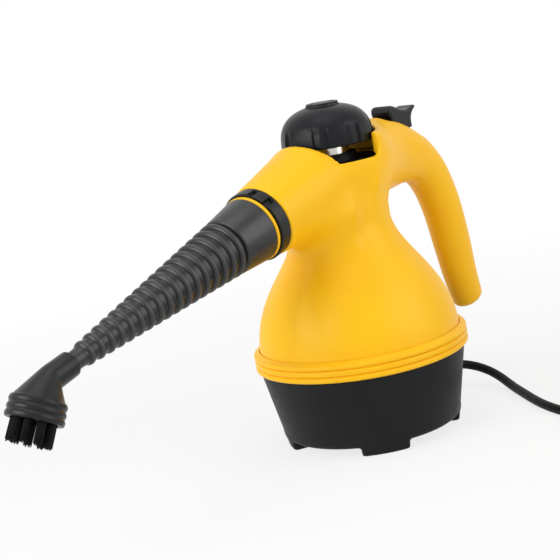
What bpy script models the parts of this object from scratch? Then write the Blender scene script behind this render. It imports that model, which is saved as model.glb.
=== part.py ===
"""Handheld steam cleaner: a bell-shaped pressure steamer with a spout, a free-ended handle and a ribbed nozzle.

The body's axis is vertical and the nozzle points to -X. The floor is z = 0.
Lengths are in metres.
"""

import math

import bmesh
import bpy
import numpy as np
from mathutils import Matrix, Vector

MM = 0.001
GAP = 0.3 * MM
CLEAR = 0.5 * MM
OVERRUN = 6 * MM
FLAT_ANGLE = math.radians(0.4)

# Where the parts stand
AXIS_X = 81.4 * MM
NOZZLE_TILT = math.radians(13.5)
SPOUT_FACE_X = -77.9 * MM
SPOUT_FACE_Z = 166.8 * MM

# Base
FOOT_H = 6 * MM
BASE_LOW_R = 59.5 * MM
BASE_TOP_R = 71.5 * MM
BASE_TOP_Z = 54 * MM
BASE_WALL = 2.5 * MM
BASE_FLOOR = 3 * MM
BASE_EDGE_R = 3 * MM
RIM_H = 4 * MM
FOOT_OUT_R = 58 * MM
FOOT_IN_R = 42 * MM
FOOT_SPREAD = math.radians(30)
FOOT_ANGLES = [math.radians(a) for a in (45, 135, 225, 315)]
POST_AT_R = 51.5 * MM
POST_R = 6 * MM
WELL_R = 4 * MM
WEB_H = 8 * MM
BOILER_POST_AT_R = 19.5 * MM
BOILER_POST_R = 2.8 * MM

# Yellow band
BAND_H = 18.7 * MM
BAND_RIB_R = 74 * MM
BAND_GROOVE_R = 72.2 * MM
BAND_RIBS = 3

# Housing skin
WALL = 2.5 * MM
SKIRT_R = 69.8 * MM
SKIRT_TOP_Z = 72 * MM
NECK_R = 34 * MM
NECK_Z = 151 * MM
BELL_FROM_Z = 53.5 * MM
BELL_POWER = 1.49
CUP_R = 36.5 * MM
CUP_FLOOR_Z = 185 * MM
FLARE_FROM_Z = 165 * MM
FLARE_TO_Z = 192 * MM
HOOD_Z = 207.5 * MM
BARREL_FACE_R = 24.3 * MM
BARREL_R = 32.4 * MM
BARREL_SHOULDER = 30 * MM
BARREL_END_X = 0 * MM
BLEND_BODY = 12 * MM
BLEND_HANDLE = 10 * MM
BLEND_HOOD = 5 * MM
SIDE_LIP_Z = 192.5 * MM
SIDE_LIP_BACK_X = 6.5 * MM
SIDE_LIP_FRONT_X = -23.5 * MM
SIDE_LIP_CORNER = 7 * MM
FRONT_ARMPIT_Z = 136 * MM
REAR_ARMPIT_Z = 150 * MM

# Handle: its centre line runs from the body's axis out and down to the free tip
HANDLE_REACH = 135.5 * MM
HANDLE_ROOT_Z = 184 * MM
HANDLE_TIP_Z = 52 * MM
HANDLE_ROOT_DEPTH = 26 * MM
HANDLE_ROOT_WIDTH = 37 * MM
HANDLE_TIP_ROUND = 9 * MM
HANDLE_PATH_SHARES = (
    (0.000, 0.992),
    (0.221, 1.008),
    (0.428, 1.008),
    (0.587, 0.970),
    (0.705, 0.905),
    (0.793, 0.795),
    (0.860, 0.629),
    (0.908, 0.402),
    (0.943, 0.205),
    (1.000, 0.000),
)
HANDLE_DEPTH_SHARES = (1.00, 1.00, 0.98, 0.79, 0.655, 0.627, 0.615, 0.604, 0.54, 0.43)
HANDLE_WIDTH_SHARES = (1.00, 0.84, 0.568, 0.473, 0.414, 0.378, 0.36, 0.338, 0.311, 0.27)
HANDLE_SAMPLES = 162

# How finely the skin is divided: columns over the bell, columns along the handle, rows round a section, rows up
# the bell
SPOUT_STATION_SHARES = (0.0, 0.08, 0.22, 0.50, 0.80)
OUTER_COUNTS = (12, 10, 7, 5)
INNER_COUNTS = (8, 7, 6, 4)

# Housing details
BOSS_R = 4 * MM
BOSS_BORE_R = 1.75 * MM
BOSS_PLACES = (
    (-57 * MM, 84 * MM),
    (57 * MM, 84 * MM),
    (-55 * MM, 153 * MM),
    (84 * MM, 166 * MM),
    (126.5 * MM, 88 * MM),
)
HEAD_R = 2.8 * MM
HEAD_H = 2 * MM
SHANK_R = 1.4 * MM
COUNTERBORE_FLOOR_Y = 8 * MM
POST_BOSS_H = 17 * MM
NECK_HOLE_R = 14.2 * MM
CRADLE_W = 8 * MM

# Trigger
PIVOT_X = 88 * MM
PIVOT_Z = 186.5 * MM
PIN_R = 2 * MM
PIN_BOSS_R = 4.6 * MM
TRIGGER_W = 18 * MM
TRIGGER_STEM_W = 12 * MM
SLOT_FRONT_X = 47.2 * MM
SLOT_BACK_X = 97.5 * MM
SLOT_W = 19.4 * MM
SLOT_LOW_Z = 188 * MM
PRESS_X = 62 * MM

# Steam valve, under the trigger
VALVE_R = 8.5 * MM
VALVE_LOW_Z = 166.5 * MM
VALVE_TOP_Z = 183.5 * MM
STEM_R = 1.6 * MM
STEM_HEAD_R = 5 * MM
STEM_HEAD_H = 1.5 * MM
STEM_TOP_Z = 195.2 * MM
STEM_DEPTH = 9 * MM
STEM_TRAVEL = 3.6 * MM
VALVE_SPRING_R = 3.4 * MM
VALVE_SPRING_WIRE_R = 0.45 * MM
VALVE_SPRING_TURNS = 3

# Boiler
BOILER_R = 39 * MM
BOILER_WALL = 2.5 * MM
BOILER_LOW_Z = 22 * MM
FLANGE_R = 45 * MM
FLANGE_H = 3.7 * MM
FLANGE_Z = 66 * MM
GASKET_H = 1 * MM
DOME_FROM_Z = 93 * MM
DOME_TOP_Z = 116 * MM
SOCKET_R = 16.5 * MM
SOCKET_TOP_Z = 124 * MM
SOCKET_LEDGE_Z = 110 * MM
BOILER_SCREW_AT_R = 42.6 * MM
BOILER_SCREWS = 4
BOILER_PIPE_X = 24 * MM
NECK_TUBE_R = 13.5 * MM
NECK_BORE_R = 10.5 * MM
NECK_TOP_Z = 203.3 * MM
HEATER_RING_R = 30 * MM
HEATER_TUBE_R = 3.4 * MM
THERMOSTAT_R = 11 * MM
THERMOSTAT_H = 7 * MM
FUSE_R = 2.4 * MM
FUSE_LENGTH = 15 * MM
FUSE_Y = -23 * MM

# Pipes and wires
PIPE_R = 2.4 * MM
WIRE_R = 1.1 * MM

# Cap
CAP_R = 31.5 * MM
CAP_RIM_Z = 205 * MM
CAP_DOME_H = 25.3 * MM
CAP_WALL = 2.4 * MM
CAP_TONGUES = 8
TONGUE_H = 14.5 * MM
TONGUE_DEPTH = 1.3 * MM
TONGUE_HALF_SHARE = 0.31
DISC_R = 12 * MM
DISC_H = 1.4 * MM
DISC_TOP_Z = 231.2 * MM
DISC_RING_R = 8.6 * MM
DISC_RING_W = 1.4 * MM
DISC_RING_DEPTH = 0.5 * MM
POCKET_R = 9.6 * MM
POCKET_FLOOR_Z = 225.6 * MM
CAP_UNDER_Z = 223 * MM
CAP_INNER_LIP_H = 4 * MM
PRESS_TRAVEL = 2.5 * MM
THREAD_R = 10.1 * MM
THREAD_H = 14 * MM
SEAL_H = 2 * MM
SEAL_OUT_R = 13.2 * MM
PLUG_FLANGE_R = 17 * MM
PLUG_FLANGE_H = 3 * MM
PLUG_DOG_R = 12 * MM
PLUG_DOG_H = 5 * MM
PLUG_DOGS = 6
PLUG_STEM_R = 4 * MM
RELIEF_R = 5.6 * MM
RELIEF_H = 12 * MM
RETAINER_R = 6.8 * MM
RETAINER_H = 0.9 * MM
CAP_SPRING_R = 7 * MM
CAP_SPRING_WIRE_R = 0.55 * MM
CAP_SPRING_TURNS = 3
WELL_RING_H = 2.2 * MM
WELL_RING_IN_R = 14.3 * MM

# Bayonet collar and nozzle, measured forward from the spout's face
COLLAR_R = 23.8 * MM
COLLAR_LENGTH = 9 * MM
COLLAR_BORE_R = 20.2 * MM
COLLAR_SPIGOT_R = 21.3 * MM
COLLAR_SPIGOT_BACK = 13 * MM
COLLAR_WEB = 2.5 * MM
NOTCH_ANGLES = [math.radians(a) for a in (20, 50, 200, 230)]
NOTCH_W = 3.6 * MM
NOTCH_DEPTH = 1.6 * MM
RING_R = 22.9 * MM
RING_FROM = 9.7 * MM
RING_TO = 12.2 * MM
SPIGOT_R = 19.5 * MM
SPIGOT_FROM = 1.5 * MM
SLEEVE_R = 22.2 * MM
SLEEVE_END_R = 19.2 * MM
SLEEVE_END = 38.5 * MM
RIBS = 17
RIB_FIRST = 42.5 * MM
RIB_LAST = 169 * MM
RIB_FIRST_R = 19.2 * MM
RIB_LAST_R = 7.9 * MM
RIB_DEPTH = 2.3 * MM
TIP_R = 5.4 * MM
TIP_END = 196 * MM
TIP_BORE_R = 2.6 * MM
NOZZLE_WALL = 2.6 * MM
SPOUT_TUBE_R = 4.6 * MM
SPOUT_TUBE_BORE_R = 2.4 * MM
SPOUT_TUBE_FROM = -31 * MM
SPOUT_TUBE_TO = 24 * MM
NOZZLE_SEAL_R = 1.2 * MM
NOZZLE_SEAL_AT = 5 * MM

# Brush
BRUSH_BEND = math.radians(45)
BRUSH_SOCKET_FROM = 180.6 * MM
BRUSH_SOCKET_R = 7.9 * MM
BRUSH_SOCKET_TO = 193 * MM
BRUSH_ELBOW = 203.8 * MM
BELL_TOP_AT = 9.2 * MM
BELL_RIM_AT = 20.6 * MM
BELL_R = 16.3 * MM
BELL_WAVES = 3
BELL_WAVE = 0.75 * MM
BELL_FLARE = 0.5 * MM
BELL_RECESS_R = 14 * MM
BELL_RECESS_H = 5 * MM
BACKING_H = 3.4 * MM
TUFTS = 9
TUFT_RING_R = 10.3 * MM
TUFT_R = 2.9 * MM
STRANDS_PER_TUFT = 34
STRAND_R = 0.38 * MM
BRISTLE_LENGTH = 14.5 * MM
BRISTLE_UNEVEN = 1.2 * MM
BRISTLE_SPLAY_SHARE = 0.10

# Mains lead: the points of its route are measured from the body's axis
CORD_R = 3.2 * MM
CORD_Z = 18 * MM
RELIEF_LENGTH = 22 * MM
RELIEF_BIG_R = 6.5 * MM
RELIEF_SMALL_R = 4.2 * MM
RELIEF_COLLAR_R = 8.2 * MM
CORD_POINTS_MM = (
    (84.8, 0.0, 18.0),
    (91.2, 0.0, 18.0),
    (99.0, -2.6, 17.4),
    (105.3, -8.2, 16.0),
    (109.0, -16.5, 13.6),
    (109.4, -26.5, 10.6),
    (106.8, -36.5, 7.6),
    (102.0, -46.0, 5.2),
    (96.0, -55.5, 3.7),
    (89.2, -65.0, 3.3),
    (81.8, -74.8, 3.3),
    (74.2, -85.0, 3.3),
    (66.8, -95.8, 3.3),
    (60.0, -107.5, 3.3),
    (54.4, -120.0, 3.3),
    (50.4, -133.5, 3.4),
    (48.2, -147.5, 4.0),
    (47.6, -161.5, 4.6),
    (47.6, -168.0, 4.7),
)
CORD_POINT_SPACING = 13 * MM
COIL_MIDDLE_R = 38 * MM
COIL_PITCH = 6.9 * MM
COIL_TURNS_PER_LAYER = 1.75
COIL_LAYERS = 4
COIL_POINTS_PER_TURN = 24
COIL_START_RUN = 6.4 * MM
COIL_LIFT = 1.5 * MM
CLIMB_TURNS = 0.5
PLUG_R = 18 * MM
PLUG_NECK_R = 5.5 * MM
PLUG_LENGTH = 36 * MM
PLUG_AWAY = 34 * MM
PLUG_ASIDE = 8 * MM
PLUG_PIN_LENGTH = 19 * MM
PLUG_PIN_R = 2.4 * MM
PLUG_PIN_SPACING = 19 * MM
TIE_W = 9 * MM
TIE_THICK = 1.1 * MM
TIE_CORNER = 3 * MM
TIE_ANGLE = math.radians(60)

# Terminal block on the base floor
BLOCK_X = 50 * MM
BLOCK_SIZE = (9 * MM, 18 * MM, 9 * MM)

ROUND = 24
SMALL_ROUND = 12


def clear_scene():
    for obj in list(bpy.data.objects):
        bpy.data.objects.remove(obj, do_unlink=True)


def material(name, colour, roughness, metallic=0.0):
    found = bpy.data.materials.get(name)
    if found:
        return found
    made = bpy.data.materials.new(name)
    made.use_nodes = True
    shader = made.node_tree.nodes["Principled BSDF"]
    shader.inputs["Base Color"].default_value = (*colour, 1.0)
    shader.inputs["Roughness"].default_value = roughness
    shader.inputs["Metallic"].default_value = metallic
    made.diffuse_color = (*colour, 1.0)
    return made


def yellow_plastic():
    return material("yellow_plastic", (0.95, 0.55, 0.03), 0.4)


def black_plastic():
    return material("black_plastic", (0.03, 0.032, 0.034), 0.45)


def black_rubber():
    return material("black_rubber", (0.02, 0.02, 0.02), 0.7)


def bright_metal():
    return material("bright_metal", (0.75, 0.75, 0.77), 0.2, 1.0)


def cast_aluminium():
    return material("cast_aluminium", (0.55, 0.56, 0.57), 0.45, 1.0)


def brass():
    return material("brass", (0.75, 0.55, 0.25), 0.3, 1.0)


def silicone():
    return material("silicone", (0.55, 0.12, 0.08), 0.6)


def nylon():
    return material("nylon", (0.02, 0.02, 0.022), 0.5)


# Empties that hold the pieces of one axis
def holder(name, parent=None, place=(0, 0, 0), turn_y=0.0):
    empty = bpy.data.objects.new(name, None)
    bpy.context.scene.collection.objects.link(empty)
    empty.parent = parent
    empty.location = place
    empty.rotation_euler = (0, turn_y, 0)
    return empty


def add_object(name, mesh, finish, parent):
    obj = bpy.data.objects.new(name, mesh)
    bpy.context.scene.collection.objects.link(obj)
    obj.parent = parent
    if finish is not None:
        obj.data.materials.clear()
        obj.data.materials.append(finish)
    return obj


def mesh_of(bm, name, weld=1e-6):
    bmesh.ops.remove_doubles(bm, verts=bm.verts, dist=weld)
    bmesh.ops.recalc_face_normals(bm, faces=bm.faces)
    mesh = bpy.data.meshes.new(name)
    bm.to_mesh(mesh)
    bm.free()
    return mesh


def turned(name, outline, finish, parent, steps=ROUND):
    """A closed (radius, height) outline spun round the parent's Z axis."""
    bm = bmesh.new()
    verts = [bm.verts.new((r, 0, z)) for r, z in outline]
    edges = [bm.edges.new((verts[i - 1], verts[i])) for i in range(len(verts))]
    bmesh.ops.spin(bm, geom=verts + edges, cent=(0, 0, 0), axis=(0, 0, 1), angle=math.tau,
                   steps=steps, use_duplicate=False)
    bmesh.ops.remove_doubles(bm, verts=bm.verts, dist=1e-6)
    loose = [e for e in bm.edges if not e.link_faces]
    bmesh.ops.delete(bm, geom=loose, context="EDGES")
    return add_object(name, mesh_of(bm, name), finish, parent)


def extruded(name, outline, depth, finish, parent, place=(0, 0, 0), axis="Z"):
    """A flat outline given a depth along one axis, centred on the place. Axis Y takes (x, z) points."""
    bm = bmesh.new()
    half = depth / 2
    if axis == "Z":
        rows = [[(a, b, side) for a, b in outline] for side in (-half, half)]
    elif axis == "Y":
        rows = [[(a, side, b) for a, b in outline] for side in (-half, half)]
    else:
        rows = [[(side, a, b) for a, b in outline] for side in (-half, half)]
    low, high = ([bm.verts.new(Vector(p) + Vector(place)) for p in row] for row in rows)
    bm.faces.new(low)
    bm.faces.new(high)
    count = len(low)
    for i in range(count):
        j = (i + 1) % count
        bm.faces.new((low[i], low[j], high[j], high[i]))
    return add_object(name, mesh_of(bm, name), finish, parent)


def rod(name, start, end, radius, finish, parent, steps=SMALL_ROUND):
    """A plain cylinder between two points."""
    start, end = Vector(start), Vector(end)
    length = (end - start).length
    turn = (end - start).to_track_quat("Z", "Y").to_matrix().to_4x4()
    bm = bmesh.new()
    bmesh.ops.create_cone(bm, cap_ends=True, segments=steps, radius1=radius, radius2=radius, depth=length,
                          matrix=Matrix.Translation((start + end) / 2) @ turn)
    return add_object(name, mesh_of(bm, name), finish, parent)


def block(name, low, high, finish, parent):
    low, high = Vector(low), Vector(high)
    bm = bmesh.new()
    size = high - low
    bmesh.ops.create_cube(bm, size=1, matrix=Matrix.Translation((low + high) / 2) @ Matrix.Diagonal((*size, 1)))
    return add_object(name, mesh_of(bm, name), finish, parent)


def smooth_path(points, steps):
    """A Catmull-Rom curve through the points, with this many steps from each to the next."""
    p = np.array(points, float)
    p = np.vstack([2 * p[0] - p[1], p, 2 * p[-1] - p[-2]])
    rows = []
    for i in range(1, len(p) - 2):
        for t in np.linspace(0, 1, steps, endpoint=False):
            a, b, c, d = p[i - 1], p[i], p[i + 1], p[i + 2]
            rows.append(0.5 * (2 * b + (c - a) * t + (2 * a - 5 * b + 4 * c - d) * t ** 2
                               + (3 * b - a - 3 * c + d) * t ** 3))
    rows.append(p[-2])
    return np.array(rows)


def tube(name, points, radius, finish, parent, resolution=2):
    """A round tube along a poly spline, with filled ends."""
    curve = bpy.data.curves.new(name, "CURVE")
    curve.dimensions = "3D"
    curve.bevel_depth = radius
    curve.bevel_resolution = resolution
    curve.use_fill_caps = True
    spline = curve.splines.new("POLY")
    spline.points.add(len(points) - 1)
    for point, place in zip(spline.points, points):
        point.co = (*place, 1)
    return add_object(name, curve, finish, parent)


def helix(radius, low, high, turns, points_per_turn=8):
    angle = np.linspace(0, math.tau * turns, turns * points_per_turn + 1)
    return np.stack([radius * np.cos(angle), radius * np.sin(angle), np.linspace(low, high, len(angle))], axis=1)


def combine(target, others, operation, keep=False):
    """Applies a Boolean for each other object in turn, and removes them."""
    finishes = list(target.data.materials)
    for other in others:
        step = target.modifiers.new(operation, "BOOLEAN")
        step.operation = operation
        step.solver = "EXACT"
        step.object = other
        bpy.context.view_layer.update()
        graph = bpy.context.evaluated_depsgraph_get()
        bm = bmesh.new()
        bm.from_mesh(bpy.data.meshes.new_from_object(target.evaluated_get(graph)))
        bmesh.ops.remove_doubles(bm, verts=bm.verts, dist=2e-6)
        bmesh.ops.dissolve_degenerate(bm, edges=bm.edges, dist=2e-6)
        mesh = bpy.data.meshes.new(target.name)
        bm.to_mesh(mesh)
        bm.free()
        target.modifiers.clear()
        target.data = mesh
        if not keep:
            bpy.data.objects.remove(other, do_unlink=True)
    target.data.materials.clear()
    for finish in finishes[:1]:
        target.data.materials.append(finish)
    return target


def tidy_faces(obj):
    """Makes one face of what is flat, after the Booleans have divided it."""
    bm = bmesh.new()
    bm.from_mesh(obj.data)
    bmesh.ops.dissolve_limit(bm, angle_limit=FLAT_ANGLE, verts=bm.verts, edges=bm.edges)
    bmesh.ops.triangulate(bm, faces=bm.faces)
    bm.to_mesh(obj.data)
    bm.free()
    return obj


def cut(target, *others):
    return combine(target, others, "DIFFERENCE")


def join(target, *others):
    return combine(target, others, "UNION")


def trim(target, other):
    return combine(target, [other], "INTERSECT")


def name_screws(name, screws):
    for k, screw in enumerate(screws, 1):
        screw.name = f"{name}_{k}"
        screw.data.materials.append(bright_metal())


# The housing's skin. Each body gives a signed distance, and the three are blended into one smooth surface.
def blend_less(a, b, width):
    """The lower of two fields, rounded where they meet."""
    share = np.clip(0.5 + 0.5 * (b - a) / width, 0, 1)
    return b + (a - b) * share - width * share * (1 - share)


def bell_radius(z):
    """Skirt to neck along a cosine, then out again to the cap's well."""
    fall = np.clip((z - BELL_FROM_Z) / (NECK_Z - BELL_FROM_Z), 0, 1) ** BELL_POWER
    bell = NECK_R + (SKIRT_R - NECK_R) * 0.5 * (1 + np.cos(np.pi * fall))
    flare = np.clip((z - FLARE_FROM_Z) / (FLARE_TO_Z - FLARE_FROM_Z), 0, 1)
    flare = flare * flare * (3 - 2 * flare)
    bell = bell + (CUP_R + WALL - NECK_R) * flare
    return np.where(z < SKIRT_TOP_Z, SKIRT_R, np.minimum(bell, SKIRT_R))


def bell_field(p, inset):
    z = p[:, 2]
    step = 0.5 * MM
    slope = (bell_radius(z + step) - bell_radius(z - step)) / (2 * step)
    return (np.hypot(p[:, 0], p[:, 1]) - bell_radius(z) + inset) / np.sqrt(1 + slope ** 2)


def barrel_radius(along):
    """The spout swells from its face over a rounded shoulder."""
    rise = np.clip(1 - along / BARREL_SHOULDER, 0, 1)
    return BARREL_FACE_R + (BARREL_R - BARREL_FACE_R) * np.sqrt(1 - rise ** 2)


def barrel_field(p, inset):
    way = np.array([math.cos(NOZZLE_TILT), 0, math.sin(NOZZLE_TILT)])
    away = p - np.array([SPOUT_FACE_X, 0, SPOUT_FACE_Z])
    along = away @ way
    off = np.linalg.norm(away - along[:, None] * way, axis=1)
    side = off - barrel_radius(along) + inset
    end = p[:, 0] - BARREL_END_X
    return np.maximum(side, end)


def handle_line(inset):
    """Samples of the handle's centre line with tangent, outward normal, half depth and half width."""
    shares = np.array(HANDLE_PATH_SHARES)
    x = shares[:, 0] * HANDLE_REACH
    z = HANDLE_TIP_Z + shares[:, 1] * (HANDLE_ROOT_Z - HANDLE_TIP_Z)
    depth = np.array(HANDLE_DEPTH_SHARES) * HANDLE_ROOT_DEPTH
    width = np.array(HANDLE_WIDTH_SHARES) * HANDLE_ROOT_WIDTH
    rows = smooth_path(np.stack([x, z, depth, width], axis=1), HANDLE_SAMPLES // (len(shares) - 1))
    run = np.concatenate([[0], np.cumsum(np.hypot(*np.diff(rows[:, :2], axis=0).T))])
    length = run[-1] - inset
    even = np.linspace(0, length, HANDLE_SAMPLES)
    rows = np.stack([np.interp(even, run, rows[:, k]) for k in range(4)], axis=1)
    centre = np.stack([rows[:, 0], np.zeros(len(rows)), rows[:, 1]], axis=1)
    way = np.gradient(centre, axis=0)
    way /= np.linalg.norm(way, axis=1, keepdims=True)
    out = np.stack([-way[:, 2], np.zeros(len(way)), way[:, 0]], axis=1)
    rounding = np.clip((even - length + HANDLE_TIP_ROUND) / HANDLE_TIP_ROUND, 0, 1)
    close = np.sqrt(np.clip(1 - rounding ** 2.6, 1e-4, 1))
    return centre, way, out, (rows[:, 2] - inset) * close, (rows[:, 3] - inset) * close, even


def handle_field(p, line):
    centre, way, out, depth, width, _ = line
    near = ((p[:, None, :] - centre[None]) ** 2).sum(axis=2).argmin(axis=1)
    away = p - centre[near]
    along = (away * way[near]).sum(axis=1)
    step = np.linalg.norm(centre[1] - centre[0])
    a = depth[near] + np.gradient(depth)[near] / step * along
    b = width[near] + np.gradient(width)[near] / step * along
    a, b = np.maximum(a, 0.1 * MM), np.maximum(b, 0.1 * MM)
    reach = np.sqrt(((away * out[near]).sum(axis=1) / a) ** 2 + (away[:, 1] / b) ** 2)
    past_tip = np.where((near == len(centre) - 1) & (along > 0), along, -1)
    past_root = np.where((near == 0) & (along < 0), -along, -1)
    return np.maximum((reach - 1) * np.minimum(a, b), np.maximum(past_tip, past_root))


def skin_field(p, inset, line):
    """Bell and barrel under the flat hood, with the handle blended in."""
    body = blend_less(bell_field(p, inset), barrel_field(p, inset), BLEND_BODY)
    body = -blend_less(-body, HOOD_Z - inset - p[:, 2], BLEND_HOOD)
    return blend_less(body, handle_field(p, line), BLEND_HANDLE)


def walk_out(starts, ways, inset, line, reach=75 * MM, steps=50, halvings=20):
    """Where rays from inside the skin first leave it."""
    low = np.zeros(len(starts))
    high = np.full(len(starts), reach)
    found = np.zeros(len(starts), bool)
    for t in np.linspace(0, reach, steps + 1)[1:]:
        outside = skin_field(starts + ways * t, inset, line) > 0
        high = np.where(outside & ~found, t, high)
        low = np.where(~outside & ~found, t, low)
        found |= outside
    for _ in range(halvings):
        middle = (low + high) / 2
        outside = skin_field(starts + ways * middle[:, None], inset, line) > 0
        high = np.where(outside, middle, high)
        low = np.where(outside, low, middle)
    return starts + ways * ((low + high) / 2)[:, None]


def skin_grids(inset, counts):
    """Two joined grids of points on the -Y side: sections along spout, hood and handle, and the bell below.

    A section is a fan of rays from the spine, from straight up round the side to straight down. Over the bell the
    fans end on the bell's top row.
    """
    line = handle_line(inset)
    mid_columns, handle_columns, section_rows, bell_rows = counts
    turn = np.linspace(math.pi, 0, mid_columns + 1)
    top_z = FRONT_ARMPIT_Z + (REAR_ARMPIT_Z - FRONT_ARMPIT_Z) * 0.5 * (1 + np.cos(turn))
    radial = np.stack([np.cos(turn), -np.sin(turn), np.zeros_like(turn)], axis=1)
    bell = []
    foot = BASE_TOP_Z + RIM_H + GAP
    rows = [np.full_like(turn, foot)]
    rows += [SKIRT_TOP_Z + (top_z - SKIRT_TOP_Z) * k / bell_rows for k in range(bell_rows + 1)]
    for z in rows:
        starts = np.stack([0 * turn, 0 * turn, z], axis=1)
        bell.append(walk_out(starts, radial, inset, line))
    bell = np.array(bell)
    seam = bell[-1]

    columns = []
    fan = np.linspace(0, 1, section_rows + 1)
    side = np.array([0.0, -1.0, 0.0])
    way = np.array([math.cos(NOZZLE_TILT), 0, math.sin(NOZZLE_TILT)])
    face = np.array([SPOUT_FACE_X, 0, SPOUT_FACE_Z])
    front_length = (seam[0, 0] - SPOUT_FACE_X) / way[0]
    front_z = (face + way * front_length)[2]
    for share in SPOUT_STATION_SHARES:
        centre = face + way * front_length * share
        tilt = NOZZLE_TILT * (1 - share)
        up = np.array([-math.sin(tilt), 0, math.cos(tilt)])
        rays = np.cos(fan * math.pi)[:, None] * up + np.sin(fan * math.pi)[:, None] * side
        columns.append(walk_out(np.tile(centre, (len(fan), 1)), rays, inset, line))
    up = np.array([0, 0, 1.0])
    spread = (seam[:, 0] - seam[0, 0]) / (seam[-1, 0] - seam[0, 0])
    for j, end in enumerate(seam):
        centre = np.array([end[0], 0, front_z + (HANDLE_ROOT_Z - front_z) * spread[j]])
        last = math.atan2(abs(end[1]), end[2] - centre[2])
        rays = np.cos(fan * last)[:, None] * up + np.sin(fan * last)[:, None] * side
        points = walk_out(np.tile(centre, (len(fan), 1)), rays, inset, line)
        points[-1] = end
        columns.append(points)
    centre, _, out, _, _, run = line
    begin = np.interp(seam[-1, 0], centre[:40, 0], run[:40])
    for k in range(1, handle_columns + 1):
        at = begin + (run[-1] - begin) * (1 - (1 - k / (handle_columns + 0.15)) ** 1.25)
        i = int(np.argmin(abs(run - at)))
        rays = np.cos(fan * math.pi)[:, None] * out[i] + np.sin(fan * math.pi)[:, None] * side
        columns.append(walk_out(np.tile(centre[i], (len(fan), 1)), rays, inset, line))
    return bell, np.array(columns), centre[-1]


def skin_solid(name, inset, counts, open_ends, body):
    """The closed skin, both sides. open_ends pushes the collar end and the bell's foot out, for a cutter."""
    bell, columns, tip = skin_grids(inset, counts)
    way = np.array([math.cos(NOZZLE_TILT), 0, math.sin(NOZZLE_TILT)])
    if open_ends:
        columns = np.concatenate([columns[:1] - way * OVERRUN, columns])
        bell = np.concatenate([bell[:1] - np.array([0, 0, OVERRUN]), bell])
    bm = bmesh.new()
    for mirror in (1, -1):
        flip = np.array([1, mirror, 1])
        for grid in (bell, columns):
            rows = [[bm.verts.new(p * flip) for p in line] for line in grid]
            for a, b in zip(rows, rows[1:]):
                for i in range(len(a) - 1):
                    bm.faces.new((a[i], a[i + 1], b[i + 1], b[i]))
            if grid is columns:
                face_ring, tip_ring = rows[0], rows[-1]
            else:
                foot_ring = rows[0]
        for ring in (face_ring, tip_ring, foot_ring):
            middle = Vector((0, 0, 0))
            for v in (ring[0], ring[-1]):
                middle += v.co / 2
            if ring is tip_ring:
                middle = Vector(tip)
            hub = bm.verts.new(middle)
            for a, b in zip(ring, ring[1:]):
                bm.faces.new((a, b, hub))
    bmesh.ops.remove_doubles(bm, verts=bm.verts, dist=2e-6)
    bmesh.ops.triangulate(bm, faces=bm.faces)
    return add_object(name, mesh_of(bm, name, 2e-6), yellow_plastic(), body)


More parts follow.
